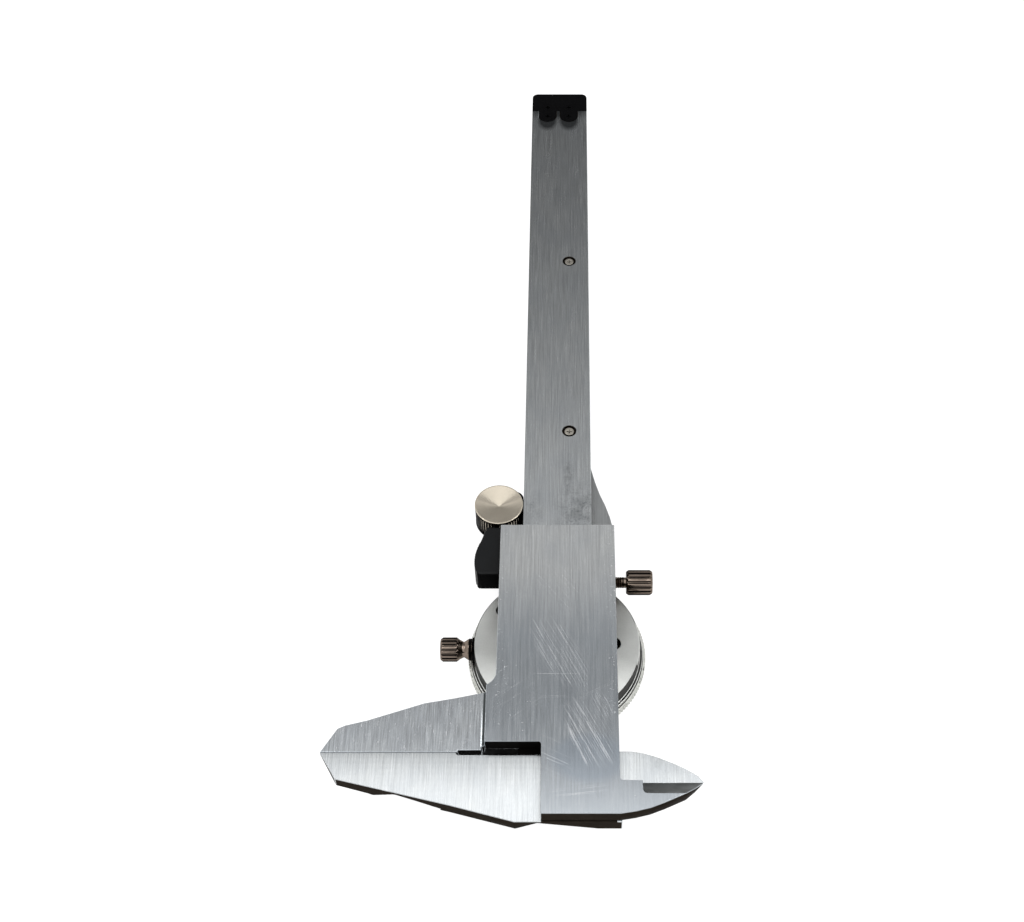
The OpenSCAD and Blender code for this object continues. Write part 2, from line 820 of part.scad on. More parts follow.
// Back bevel of the moving inside jaw
module moving_knife_cut() {
    intersection() {
        translate([knife_start, -nib_line, 0])
            rotate([90, 0, 90])
                linear_extrude(height = nib_reach)
                    polygon([
                        [over, plate_bottom],
                        [0, plate_bottom],
                        [-knife_w * (plate_t + over) / plate_t, plate_top + over],
                        [over, plate_top + over]
                    ]);
        slab(plate_top + over * 2, -over)
            union() {
                translate([knife_start + knife_round, -nib_line - 2 * knife_w])
                    square([nib_reach, 3 * knife_w]);
                translate([knife_start, -nib_line - knife_w + knife_round])
                    square([nib_reach, 3 * knife_w]);
                translate([knife_start + knife_round, -nib_line - knife_w + knife_round])
                    circle(r = knife_round);
            }
    }
}

// Moving outside jaw, below the plate's level
module moving_jaw_outline() {
    difference() {
        polygon(concat(
            [[-rail_in, closed_gap], [-rail_in, moving_jaw_rise], [-wing_half, moving_jaw_rise * 0.96]],
            [for (p = moving_jaw_shares) [-p[0] * jaw_reach, closed_gap + p[1] * moving_jaw_rise]]
        ));
        translate([-beam_w / 2 - relief_len, -over])
            square([relief_len + over, over + closed_gap + relief_depth]);
        translate([-wing_half - leg_corner, -over])
            square([wing_half, over + notch_top * 1.6]);
    }
}

module slider() {
    color("#c8cacc")
        difference() {
            union() {
                slab(plate_top, plate_bottom)
                    plate_outline();
                slab(plate_bottom, rail_bottom) {
                    translate([-slider_half, notch_top * 2])
                        square([slider_half - rail_in, slider_end - notch_top * 2]);
                    translate([gib_out, notch_top])
                        square([rail_right - gib_out, slider_end - notch_top]);
                }
                slab(plate_bottom - seat_gap, rail_bottom)
                    moving_jaw_outline();
                slab(plate_bottom, rail_bottom)
                    translate([-wing_half, notch_top * 2])
                        square([wing_half - rail_in, wing_top - notch_top * 3]);
                step_fillet_bar();
            }
            moving_knife_cut();
            blade_cut(1);
            cross_bar(slide_lock_y, rail_mid_z, lock_stem_r + run_gap, gib_out - over, rail_right + over);
            for (y = gib_screw_ys)
                cross_bar(y, rail_mid_z, screw_r + screw_gap, gib_out - over, rail_right + over);
            for (p = front_screw_places)
                bar(p[0], p[1], screw_r + screw_gap, rail_bottom + front_screw_deep, rail_bottom - over);
            cross_bar(
                rest_screw_y, rail_mid_z, screw_r + screw_gap,
                -slider_half - over, -slider_half + rest_screw_deep
            );
        }
}

// Concave fillet along the step from the moving jaw up to the plate
module step_fillet_bar() {
    translate([-wing_half, moving_jaw_rise * 0.93, 0])
        rotate([90, 0, 0])
            linear_extrude(height = moving_jaw_rise * 0.93 - notch_top * 1.6)
                difference() {
                    translate([-step_fillet, -seat_gap])
                        square([step_fillet + over, step_fillet + seat_gap]);
                    translate([-step_fillet, step_fillet])
                        circle(r = step_fillet);
                }
}

module gib() {
    color("#b8a46a")
        block(
            [rail_in, slider_end * 0.03, rail_mid_z - beam_t * gib_h_share / 2],
            [gib_out, slider_end * 0.99, rail_mid_z + beam_t * gib_h_share / 2]
        );
}

module gib_screws() {
    color("#4a4744")
        for (y = gib_screw_ys)
            difference() {
                cross_bar(y, rail_mid_z, screw_r, gib_out, rail_right - seat_gap * 4);
                block(
                    [rail_right - screw_r, y - screw_r * 0.2, rail_mid_z - screw_r * 1.2],
                    [rail_right, y + screw_r * 0.2, rail_mid_z + screw_r * 1.2]
                );
            }
}

// Front plate: a cover over the rails that narrows in an S curve to the tail
module front_outline() {
    start = slider_end + tail_curve_start;
    curve = slider_end + tail_len - start;
    polygon(concat(
        [[-slider_half, notch_top], [rail_right, notch_top]],
        [for (p = tail_curve_shares) [tail_half + p[0] * (rail_right - tail_half), start + p[1] * curve]],
        [
            [-tail_half, start + curve],
            [-tail_half, slider_end + seat_gap],
            [-slider_half, slider_end + seat_gap]
        ]
    ));
}

module front_plate() {
    color("#c4c6c8")
        difference() {
            slab(rail_bottom, front_bottom)
                front_outline();
            for (p = front_screw_places)
                translate([p[0], p[1], front_bottom])
                    rotate([180, 0, 0])
                        flat_screw_hole(front_t);
            bar(rack_pinion_x, rack_pinion_y, bush_r + screw_gap, over, case_floor);
            block(
                [window_right - window_w, window_start, front_bottom - over],
                [window_right, window_start + window_len, rail_bottom + over]
            );
            for (a = case_screw_angles)
                bar(
                    case_screw_at * cos(a), dial_y + case_screw_at * sin(a),
                    screw_r + screw_gap, over, case_floor
                );
            for (y = bracket_screw_ys)
                bar(bracket_screw_x, y, screw_r + screw_gap, over, front_bottom - over);
            bar(-rod_x, rod_rivet_y, screw_r + screw_gap, over, front_bottom - over);
        }
}

module front_plate_screws() {
    color("#8a8278")
        for (p = front_screw_places)
            translate([p[0], p[1], front_bottom])
                rotate([180, 0, 0])
                    flat_screw(front_t + front_screw_deep - 4 * seat_gap);
}

// Case: floor, wall, rim and the spigot that the bezel turns on
module dial_case() {
    color("#d2d4d4")
        difference() {
            union() {
                translate([0, dial_y, 0])
                    rotate_extrude()
                        case_profile();
                for (a = pillar_angles)
                    translate([0, dial_y, 0])
                        rotate([0, 0, a])
                            bar(pillar_at, 0, pillar_r, case_floor + case_wall / 2, bridge_top);
            }
            bar(rack_pinion_x, rack_pinion_y, bush_r + screw_gap, 0, case_floor - over);
            for (p = back_hole_shares)
                bar(p[0] * case_r, dial_y + p[1] * case_r, back_hole_r, 0, case_floor - over);
            for (a = case_screw_angles)
                bar(
                    case_screw_at * cos(a), dial_y + case_screw_at * sin(a),
                    screw_r + screw_gap, 0, case_floor - over
                );
            bar(0, dial_y, pivot_r + run_gap, case_floor + case_wall / 2, case_floor - over);
            bar(take_up_x, take_up_y, pivot_r + run_gap, case_floor + case_wall / 2, case_floor - over);
            for (a = pillar_angles)
                translate([0, dial_y, 0])
                    rotate([0, 0, a])
                        bar(
                            pillar_at, 0, bridge_screw_r + screw_gap,
                            bridge_top + bridge_screw_deep, bridge_top - over
                        );
            cross_bar(bezel_lock_y, bezel_lock_z, bezel_stem_r + screw_gap, -case_r - over, -case_r / 2);
            clamp_notch();
        }
}

module case_profile() {
    polygon([
        [0, front_bottom],
        [case_r - case_edge, front_bottom],
        [case_r, front_bottom - case_edge],
        [case_r, rim_bottom + rim_t],
        [case_r + rim_out, rim_bottom + rim_t],
        [case_r + rim_out, rim_bottom],
        [spigot_r, rim_bottom],
        [spigot_r, groove_mid + groove_half],
        [spigot_r - groove_depth, groove_mid + groove_half],
        [spigot_r - groove_depth, groove_mid - groove_half],
        [spigot_r, groove_mid - groove_half],
        [spigot_r, spigot_bottom],
        [spigot_in, spigot_bottom],
        [spigot_in, case_floor],
        [0, case_floor]
    ]);
}

// Notch in the rim, and a flat on the wall, for the bezel's clamp shoe
module clamp_notch() {
    block(
        [-case_r - rim_out - over, bezel_lock_y - clamp_half - screw_gap, rim_bottom - over],
        [-case_r + clamp_sink, bezel_lock_y + clamp_half + screw_gap, front_bottom - clamp_drop]
    );
}

module case_screws() {
    color("#8a8278")
        for (a = case_screw_angles)
            translate([case_screw_at * cos(a), dial_y + case_screw_at * sin(a), case_floor])
                rotate([180, 0, 0])
                    pan_screw(case_wall + front_t - seat_gap, head_h = screw_head_h * 0.75);
}

module pinion_bush() {
    color("#b5904a")
        difference() {
            bar(rack_pinion_x, rack_pinion_y, bush_r, rail_bottom - bush_flange, case_floor);
            bar(rack_pinion_x, rack_pinion_y, arbor_r + run_gap, over, case_floor - over);
        }
}

module gear_bridge() {
    color("#b5904a")
        difference() {
            slab(bridge_top, bridge_bottom)
                intersection() {
                    translate([0, dial_y])
                        circle(r = bridge_r);
                    translate([-bridge_r, dial_y - bridge_half])
                        square([2 * bridge_r, 2 * bridge_half]);
                }
            bar(rack_pinion_x, rack_pinion_y, pivot_r + run_gap, 0, bridge_bottom - over);
            bar(take_up_x, take_up_y, pivot_r + run_gap, 0, bridge_bottom - over);
            bar(0, dial_y, centre_arbor_r + run_gap, 0, bridge_bottom - over);
            for (a = pillar_angles)
                translate([0, dial_y, 0])
                    rotate([0, 0, a])
                        bar(pillar_at, 0, bridge_screw_r + screw_gap, 0, bridge_bottom - over);
        }
}

module bridge_screws() {
    color("#5a5650")
        for (a = pillar_angles)
            translate([0, dial_y, bridge_bottom])
                rotate([0, 0, a])
                    translate([pillar_at, 0, 0])
                        rotate([180, 0, 0])
                            pan_screw(
                                bridge_t + bridge_screw_deep * 0.9,
                                bridge_screw_r * 1.9, bridge_head_h, bridge_screw_r
                            );
}

// Flat spiral that takes up the backlash, its coils drawn as a ribbon
module hairspring() {
    steps = 20;
    color("#6f7fa0")
        translate([take_up_x, take_up_y, spring_top - spring_h])
            linear_extrude(height = spring_h)
                polygon(concat(
                    [for (i = [0:spring_turns * steps])
                        polar(spring_in + spring_step * i / steps, i * 360 / steps)],
                    [for (i = [spring_turns * steps:-1:0])
                        polar(spring_in + spring_wire + spring_step * i / steps, i * 360 / steps)]
                ));
}

// Arbor with the pinion that rolls along the rack
module rack_pinion() {
    top = groove_floor - seat_gap * 4;
    color("#c9a857")
        translate([rack_pinion_x, rack_pinion_y, 0])
            union() {
                slab(top, rack_bottom)
                    gear_outline(rack_pinion_teeth, rack_module, long_addendum_share);
                bar(0, 0, arbor_r, rack_bottom + seat_gap, transfer_top - wheel_t - seat_gap);
                bar(0, 0, pivot_r, transfer_top - wheel_t, bridge_bottom);
            }
}

module transfer_gear() {
    color("#c9a857")
        translate([rack_pinion_x, rack_pinion_y, 0])
            difference() {
                slab(transfer_top, transfer_top - wheel_t)
                    rotate([0, 0, wheel_angle + 180])
                        gear_outline(wheel_teeth, gear_module, short_addendum_share, 1);
                bar(0, 0, arbor_r + screw_gap, 0, bridge_bottom);
                wheel_windows();
            }
}

// Round windows that lighten a wheel
module wheel_windows() {
    for (a = [0:60:300])
        rotate([0, 0, a])
            bar(wheel_pitch_r * 0.57, 0, wheel_pitch_r * 0.17, 0, bridge_bottom);
}

module centre_pinion() {
    color("#c9a857")
        translate([0, dial_y, 0])
            union() {
                slab(centre_top, take_up_top - wheel_t - 0.2 * gear_gap)
                    rotate([0, 0, wheel_angle + 180 / centre_teeth])
                        gear_outline(centre_teeth, gear_module, long_addendum_share);
                bar(0, 0, pivot_r, case_floor + case_wall / 2 - seat_gap, centre_top - seat_gap);
                bar(0, 0, centre_arbor_r, take_up_top - wheel_t, needle_top - needle_t * 2 - seat_gap);
            }
}

module take_up_gear() {
    color("#c9a857")
        translate([take_up_x, take_up_y, 0])
            union() {
                difference() {
                    slab(take_up_top, take_up_top - wheel_t)
                        rotate([0, 0, wheel_angle])
                            gear_outline(wheel_teeth, gear_module, short_addendum_share, 1);
                    wheel_windows();
                }
                bar(0, 0, arbor_r, transfer_top, bridge_top + seat_gap);
                bar(0, 0, pivot_r, case_floor + case_wall / 2 - seat_gap, bridge_bottom);
                bar(0, 0, spring_in - seat_gap * 2, take_up_top, spring_top - spring_h);
            }
}

// A tapered hand with a round boss and a short tail
module needle() {
    tail = needle_len * 0.3;
    color("#202020")
        translate([0, dial_y, 0])
            difference() {
                union() {
                    slab(needle_top, needle_top - needle_t)
                        polygon([
                            [-tail, -needle_root * 1.4], [0, -needle_root], [needle_len, -needle_point],
                            [needle_len, needle_point], [0, needle_root], [-tail, needle_root * 1.4]
                        ]);
                    bar(0, 0, needle_boss_r, needle_top, needle_top - needle_t * 2);
                }
                bar(0, 0, centre_arbor_r + screw_gap, 0, bezel_bottom);
            }
}

// Open ring of wire that keeps the bezel on its spigot
module bezel_spring() {
    color("#7d7f80")
        translate([0, dial_y, groove_mid])
            difference() {
                rotate_extrude()
                    translate([spigot_r - groove_depth + seat_gap, -groove_half + seat_gap])
                        square([groove_depth + groove_depth, 2 * groove_half - 2 * seat_gap]);
                block([-over, 0, -over], [over, case_r * 2, over]);
            }
}

module bezel_profile() {
    body_r = bezel_r - bezel_rib_depth - rib_sink;
    polygon([
        [bezel_in, bezel_top],
        [body_r - bezel_edge, bezel_top],
        [body_r, bezel_top - bezel_edge],
        [body_r, band_bottom],
        [bezel_r - bezel_taper, bezel_bottom + bezel_face_edge],
        [bezel_r - bezel_taper - bezel_face_edge, bezel_bottom],
        [lip_in + lip_t / 2, bezel_bottom],
        [lip_in, bezel_bottom + lip_t / 2],
        [lip_in, crystal_bottom],
        [bezel_in, crystal_bottom],
        [bezel_in, groove_mid - groove_half],
        [bezel_in + groove_depth + seat_gap, groove_mid - groove_half],
        [bezel_in + groove_depth + seat_gap, groove_mid + groove_half],
        [bezel_in, groove_mid + groove_half]
    ]);
}

module bezel() {
    color("#cfd1d1")
        translate([0, dial_y, 0])
            union() {
                rotate_extrude()
                    bezel_profile();
                slab(bezel_top - bezel_edge - rib_sink, band_bottom + rib_sink)
                    difference() {
                        ribbed_outline(bezel_r, bezel_ribs, bezel_rib_depth);
                        circle(r = bezel_r - bezel_rib_depth - rib_sink * 3);
                    }
            }
}

module dial_face() {
    color("#f4f2ea")
        translate([0, dial_y, 0])
            difference() {
                bar(0, 0, bezel_in - screw_gap, face_top, face_bottom);
                bar(0, 0, centre_arbor_r + arbor_hole_gap, 0, bezel_bottom);
            }
}

module crystal_spacer() {
    color("#30302e")
        translate([0, dial_y, 0])
            difference() {
                bar(0, 0, bezel_in - screw_gap, face_bottom, crystal_top);
                bar(0, 0, bezel_in - spacer_wall, 0, bezel_bottom);
            }
}

module crystal() {
    color("#dfe9ee", 0.4)
        bar(0, dial_y, bezel_in - screw_gap, crystal_top, crystal_bottom);
}

// Shoe under the bezel lock screw, pressed down on the bezel's upper face
module bezel_clamp() {
    color("#242424")
        difference() {
            block(
                [-case_r + clamp_sink - clamp_t, bezel_lock_y - clamp_half, bezel_top + seat_gap],
                [-case_r + clamp_sink, bezel_lock_y + clamp_half, front_bottom - clamp_drop - seat_gap]
            );
            cross_bar(bezel_lock_y, bezel_lock_z, bezel_stem_r + run_gap, -case_r - over, -case_r / 2);
        }
}

// Knob, waist, flange and stem, turned in one piece
module bezel_lock_screw() {
    flange_x = -case_r + clamp_sink - clamp_t - seat_gap;
    flange_t = 0.7;
    waist_r = lock_knob_r * 0.6;
    flange_r = lock_knob_r * 0.85;
    waist_len = 1.1;
    cone_len = 1.1;
    color("#5d554d")
        translate([flange_x, bezel_lock_y, bezel_lock_z])
            rotate([0, -90, 0])
                union() {
                    translate([0, 0, -bezel_stem_len])
                        cylinder(r = bezel_stem_r, h = bezel_stem_len + flange_t / 2);
                    cylinder(r = flange_r, h = flange_t);
                    translate([0, 0, flange_t])
                        cylinder(r1 = flange_r, r2 = waist_r, h = waist_len);
                    translate([0, 0, flange_t + waist_len])
                        cylinder(r1 = waist_r, r2 = lock_knob_r * 0.8, h = cone_len);
                    translate([0, 0, flange_t + waist_len + cone_len])
                        ribbed_knob(lock_knob_r * 0.95, lock_knob_len * 0.69);
                }
}

module slide_lock_screw() {
    color("#5d554d")
        translate([0, slide_lock_y, rail_mid_z])
            rotate([0, 90, 0])
                union() {
                    translate([0, 0, gib_out + seat_gap])
                        cylinder(r = lock_stem_r, h = rail_right + slide_lock_neck - gib_out);
                    translate([0, 0, rail_right + slide_lock_neck])
                        ribbed_knob(lock_knob_r, lock_knob_len);
                }
}

module depth_rod() {
    color("#bfc1c3")
        difference() {
            block(
                [-rod_x - rod_w / 2, rod_start, rod_bottom],
                [-rod_x + rod_w / 2, beam_end - seat_gap, rod_top]
            );
            bar(-rod_x, rod_rivet_y, screw_r + screw_gap, over, front_bottom);
        }
}

// Block that carries the rod down to the front plate
module depth_rod_block() {
    color("#b5904a")
        difference() {
            block(
                [-rod_x - rod_w / 2, rod_start, rail_bottom],
                [-rod_x + rod_w / 2, rod_start + rod_block_len, rod_bottom]
            );
            bar(-rod_x, rod_rivet_y, screw_r + screw_gap, over, front_bottom);
        }
}

module depth_rod_rivet() {
    color("#8d8f90")
        bar(-rod_x, rod_rivet_y, screw_r, rod_top - seat_gap, front_bottom);
}

module rest_outline() {
    polygon(concat(
        [[-slider_half, rest_low + rest_len], [-slider_half, rest_low]],
        [for (p = rest_shares) [-slider_half - p[0] * rest_out, rest_low + p[1] * rest_len]]
    ));
}

module thumb_rest() {
    color("#1b1c1e")
        difference() {
            slab(rest_top, rest_bottom)
                difference() {
                    rest_outline();
                    for (i = [0:serrations - 1])
                        let (t = (i + 0.5) / serrations * 0.62)
                            translate([
                                -slider_half - rest_out * (1.09 - 0.25 * pow((t - 0.28) / 0.45, 2)),
                                rest_low + t * rest_len
                            ])
                                circle(r = rest_out * 0.11);
                }
            cross_bar(
                rest_screw_y, rail_mid_z, screw_r + screw_gap,
                -slider_half - rest_out - over, -slider_half + over
            );
            cross_bar(
                rest_screw_y, rail_mid_z, screw_head_r + 2 * screw_gap,
                -slider_half - rest_out - over, -slider_half - rest_out * 0.45
            );
        }
}

module thumb_rest_screw() {
    color("#3a3836")
        translate([-slider_half - rest_out * 0.45, rest_screw_y, rail_mid_z])
            rotate([0, -90, 0])
                pan_screw(rest_out * 0.45 + rest_screw_deep - seat_gap * 2);
}

// Bracket: a round plate under the roller and an arm under the front plate
module roller_bracket() {
    arm_half = roller_r * 0.92;
    color("#202123")
        difference() {
            slab(bracket_top, bracket_top - bracket_t) {
                translate([roller_x, roller_y])
                    circle(r = roller_r);
                translate([tongue_x, tongue_y])
                    circle(r = tongue_r);
                translate([tongue_x, roller_y])
                    square([tongue_r, tongue_y - roller_y]);
                translate([roller_x, roller_y + arm_half - 2 * arm_half * 0.9])
                    square([bracket_screw_x - roller_x + 2 * screw_head_r, 2 * arm_half * 0.9]);
            }
            bar(roller_x, roller_y, pin_r * 0.6 + screw_gap, over, bracket_top - over * 2);
            for (y = bracket_screw_ys)
                bar(bracket_screw_x, y, screw_r + screw_gap, over, bracket_top - over * 2);
        }
}

module roller_bracket_screws() {
    color("#8a8278")
        for (y = bracket_screw_ys)
            translate([bracket_screw_x, y, bracket_top - bracket_t])
                rotate([180, 0, 0])
                    pan_screw(bracket_t + front_t - seat_gap);
}

// Pin of the roller, riveted into the bracket
module roller_pin() {
    color("#8d8f90")
        union() {
            bar(roller_x, roller_y, pin_r, roller_top - roller_h * 0.3, bracket_top);
            bar(roller_x, roller_y, pin_r * 0.6, bracket_top + seat_gap, bracket_top - bracket_t);
        }
}

module thumb_roller() {
    flange = roller_h * 0.14;
    color("#cdc6b8")
        translate([roller_x, roller_y, 0])
            difference() {
                union() {
                    bar(0, 0, roller_r, roller_top, roller_top - flange);
                    slab(roller_top - flange, roller_bottom)
                        ribbed_outline(roller_r - seat_gap, roller_ribs, roller_rib_depth);
                }
                bar(0, 0, pin_r + run_gap, roller_top - roller_h * 0.3 + seat_gap, bracket_top);
            }
}

beam();
rack();
rack_screws();
end_stop();
end_stop_screws();
rod_keeper();
rod_keeper_screws();
slider();
gib();
gib_screws();
front_plate();
front_plate_screws();
dial_case();
case_screws();
pinion_bush();
gear_bridge();
bridge_screws();
hairspring();
rack_pinion();
transfer_gear();
centre_pinion();
take_up_gear();
needle();
bezel_spring();
bezel();
dial_face();
crystal_spacer();
crystal();
bezel_clamp();
bezel_lock_screw();
slide_lock_screw();
depth_rod();
depth_rod_block();
depth_rod_rivet();
thumb_rest();
thumb_rest_screw();
roller_bracket();
roller_bracket_screws();
roller_pin();
thumb_roller();
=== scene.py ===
"""Dial caliper: finishes, eased edges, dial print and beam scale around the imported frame."""

import math

import bmesh
import bpy
from mathutils import Matrix, Vector


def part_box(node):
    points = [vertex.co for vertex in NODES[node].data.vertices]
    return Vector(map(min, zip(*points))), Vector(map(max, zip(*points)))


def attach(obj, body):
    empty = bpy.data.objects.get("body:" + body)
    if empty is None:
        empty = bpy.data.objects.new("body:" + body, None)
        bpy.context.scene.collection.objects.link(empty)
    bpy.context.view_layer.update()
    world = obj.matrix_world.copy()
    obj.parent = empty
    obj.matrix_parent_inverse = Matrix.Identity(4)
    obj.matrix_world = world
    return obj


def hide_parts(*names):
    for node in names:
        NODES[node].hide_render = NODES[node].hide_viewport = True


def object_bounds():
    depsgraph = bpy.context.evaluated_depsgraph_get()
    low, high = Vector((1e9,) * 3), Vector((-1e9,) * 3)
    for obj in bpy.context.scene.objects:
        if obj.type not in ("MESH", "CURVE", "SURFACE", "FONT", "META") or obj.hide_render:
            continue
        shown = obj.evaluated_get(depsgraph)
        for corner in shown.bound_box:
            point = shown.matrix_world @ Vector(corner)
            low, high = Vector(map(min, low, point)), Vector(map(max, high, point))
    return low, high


bl_info = {
    "name": "Dial caliper",
    "version": (1, 0, 0),
    "blender": (4, 5, 0),
    "location": "View3D > Sidebar > Caliper",
    "description": "Finishes, eased edges and markings of a six-inch dial caliper",
    "category": "Object",
}

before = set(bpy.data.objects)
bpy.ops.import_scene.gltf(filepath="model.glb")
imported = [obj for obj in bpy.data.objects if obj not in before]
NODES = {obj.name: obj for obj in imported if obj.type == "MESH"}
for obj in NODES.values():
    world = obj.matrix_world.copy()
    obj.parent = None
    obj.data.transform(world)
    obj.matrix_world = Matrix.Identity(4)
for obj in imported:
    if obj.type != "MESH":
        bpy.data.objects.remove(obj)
CAD_BOX = [list(corner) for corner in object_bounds()]
MM = 0.001


def mm(*values):
    """Millimetres as a tuple in metres."""
    return tuple(value * MM for value in values)


def linear(hex_colour):
    """Linear colour of an sRGB hex value."""
    parts = [int(hex_colour[i : i + 2], 16) / 255 for i in (1, 3, 5)]
    return tuple(p / 12.92 if p <= 0.04045 else ((p + 0.055) / 1.055) ** 2.4 for p in parts)


def middle(node):
    """Centre of a frame node's box."""
    low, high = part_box(node)
    return (low + high) / 2


# Places across the beam from its middle, and along it from the closed jaws' faces

RELIEF_OUT, RELIEF_IN = mm(-20.9, -0.6)
RELIEF_LOW, RELIEF_HIGH = mm(-0.55, 6)
LEG_SIDE = -3.0 * MM
NIB_START, NIB_RAMP, NIB_TOP = mm(12.6, 0.8, 3.6)
NIB_TILT = 0.021
JAW_SIDE, BEVEL_SIDE = mm(-14.5, 10)
SINKS_START, SINKS_REACH = mm(20, 6)
SINK_TOP, SINK_FLOOR = mm(-0.4, -2.5)

# Places of the scale's and the dial's lines and figures

SCALE_ZERO, SCALE_STEP = mm(55.0, 2.54)
SCALE_EDGE, SCALE_FIGURES = mm(7.25, 5.55)
INDEX_MIDDLE, INDEX_LENGTH = mm(8.3, 1.5)
DIAL_RIM, DIAL_FIGURES = mm(17.0, 11.6)

# Shares of a face's direction that count as up, and as across

FACING_UP = 0.9
FACING_ASIDE = 0.5

# Sizes and colours


def length(name, description, millimetres):
    """A size that is given in millimetres."""
    return bpy.props.FloatProperty(
        name=name, description=description, default=millimetres * MM, unit="LENGTH", precision=5
    )


def colour(name, description, hex_colour):
    """A colour that is given as an sRGB hex value."""
    return bpy.props.FloatVectorProperty(
        name=name, description=description, default=linear(hex_colour),
        subtype="COLOR", size=3, min=0, max=1,
    )


def level(name, description, value):
    """A plain number."""
    return bpy.props.FloatProperty(name=name, description=description, default=value)


class CaliperSizes(bpy.types.PropertyGroup):
    plate_edge: length("Plate edge", "Width of the eased edges of the beam and the plates", 0.13)
    turned_edge: length("Turned edge", "Width of the eased edges of case, bezel and roller", 0.12)
    small_edge: length("Small edge", "Width of the eased edges of screws and knobs", 0.06)
    moulded_edge: length("Moulded edge", "Width of the rounded edges of the thumb rest", 0.3)
    jaw_fall: length("Jaw fall", "How far the fixed jaw's back falls away at its lower edge", 0.33)
    roller_dish: length("Roller dish", "Depth of the roller's turned hollow", 0.9)
    thread_pitch: length("Thread pitch", "Distance between the turns of the lock screw's thread", 0.5)
    ink_height: length("Ink height", "How far print and filled lines stand out", 0.02)
    tick_width: length("Tick width", "Width of the dial's and the scale's lines", 0.16)
    dial_figure: length("Dial figure", "Height of the dial's figures", 2.5)
    scale_figure: length("Scale figure", "Height of the beam scale's figures", 1.05)
    rest_corner: length("Rest corner", "Radius of the thumb rest's outer corner", 1.1)


class CaliperColours(bpy.types.PropertyGroup):
    steel: colour("Ground steel", "Faces of the slider", "#c0c2c2")
    beam_steel: colour("Beam steel", "Faces of the beam, a little duller from use", "#bcbfc0")
    jaw_steel: colour("Jaw steel", "Back of the moving jaw, ground last", "#c5c9cc")
    cover_steel: colour("Cover steel", "Front plate, rack and depth rod", "#a6a8a8")
    # The next two colours are the ground steel painted darker: painted shade on walls, and on fillets and
    # steps
    cut_steel: colour("Cut steel", "Dull sides of the beam and the slider", "#29241f")
    step_steel: colour("Step steel", "Fillets and steps beside the plate", "#4c5051")
    honed_steel: colour("Honed steel", "Knife bevels of the inside jaws", "#6e7070")
    chrome: colour("Satin chrome", "Dial case", "#e4e6e3")
    # The next colour is the case's chrome painted darker: painted shade on its turned walls
    chrome_wall: colour("Chrome wall", "Turned walls of the case", "#4b4b4a")
    chrome_rib: colour("Chrome ribs", "Bezel and its ribbed rim", "#d6d7d2")
    nickel: colour("Warm nickel", "Face of the thumb roller", "#ccc3b3")
    # The next colour is the roller's nickel painted darker: painted shade on its ribbed side
    nickel_wall: colour("Nickel wall", "Ribbed side of the thumb roller", "#1d1b19")
    dark_nickel: colour("Dark nickel", "Crests of the lock screws", "#7b6f65")
    # The next colour is painted shade: near black in slots, recesses, holes and the grooves between ribs
    groove: colour("Groove", "Oil and dirt in grooves and slots", "#080706")
    screw_nickel: colour("Screw nickel", "Heads of the rack screws", "#b5b0a6")
    screw_steel: colour("Screw steel", "Small screws", "#77706a")
    black_oxide: colour("Black oxide", "End stop, keeper, bracket and clamp", "#060607")
    black_plastic: colour("Black plastic", "Thumb rest and crystal spacer", "#0a0c0e")
    # The next colour is painted shade on the front of the thumb rest
    worn_plastic: colour("Worn plastic", "Front of the thumb rest, rubbed smooth", "#030304")
    brass: colour("Brass", "Gears, bush and bridge", "#b98f45")
    blued_steel: colour("Blued steel", "Hairspring and bezel spring", "#4c5672")
    enamel: colour("Dial enamel", "Dial face", "#f1efe6")
    ink: colour("Ink", "Dial print, needle and scale lines", "#141414")
    worn: colour("Worn steel", "Scratches and nicks", "#f9fafc")
    stain: colour("Stain", "Oil and dust dried on the beam", "#4d5052")
    # The next colour is painted shade in the gap between the case and the bezel
    dirt: colour("Gap shade", "Gap between the case and the bezel", "#070606")


class CaliperStage(bpy.types.PropertyGroup):
    lens: level("Lens", "Focal length in millimetres", 52.71)
    shift: bpy.props.FloatVectorProperty(
        name="Shift", description="Shift of the lens across and up", default=(-0.0550, 0.0456), size=2
    )
    camera_place: bpy.props.FloatVectorProperty(
        name="Camera place",
        description="Where the camera stands",
        default=(0.002573, -0.147675, 0.282996),
        subtype="TRANSLATION",
    )
    camera_pitch: bpy.props.FloatProperty(
        name="Camera pitch",
        description="Tilt up from straight down",
        default=math.radians(36.83),
        subtype="ANGLE",
    )
    overhead: level("Overhead light", "Power of the overhead softbox", 2.4)
    side: level("Side light", "Power of each side softbox", 1.6)
    room: level("Room light", "Strength of the room for matt surfaces", 0.7)


class CaliperSettings(bpy.types.PropertyGroup):
    sizes: bpy.props.PointerProperty(type=CaliperSizes)
    colours: bpy.props.PointerProperty(type=CaliperColours)
    stage: bpy.props.PointerProperty(type=CaliperStage)


def sizes():
    return bpy.context.scene.caliper.sizes


def colours():
    return bpy.context.scene.caliper.colours


# Materials

COLOUR_MIX = {"out": 2, "data_type": "RGBA"}
TEXTURE = {"vector_type": "TEXTURE"}


def add(tree, kind, inputs=(), out=0, **settings):
    """Adds a node with its settings and gives back an output; an input is a value or a socket."""
    made = tree.nodes.new("ShaderNode" + kind)
    for name, value in settings.items():
        setattr(made, name, value)
    for name, value in inputs.items() if isinstance(inputs, dict) else enumerate(inputs):
        if isinstance(value, bpy.types.NodeSocket):
            tree.links.new(value, made.inputs[name])
        else:
            made.inputs[name].default_value = value
    return made.outputs[out] if made.outputs else None


def begin(name):
    """A new material's tree and its Object coordinates."""
    material = bpy.data.materials.new("caliper_" + name)
    material.use_nodes = True
    tree = material.node_tree
    tree.nodes.clear()
    return material, tree, add(tree, "TexCoord", out="Object")


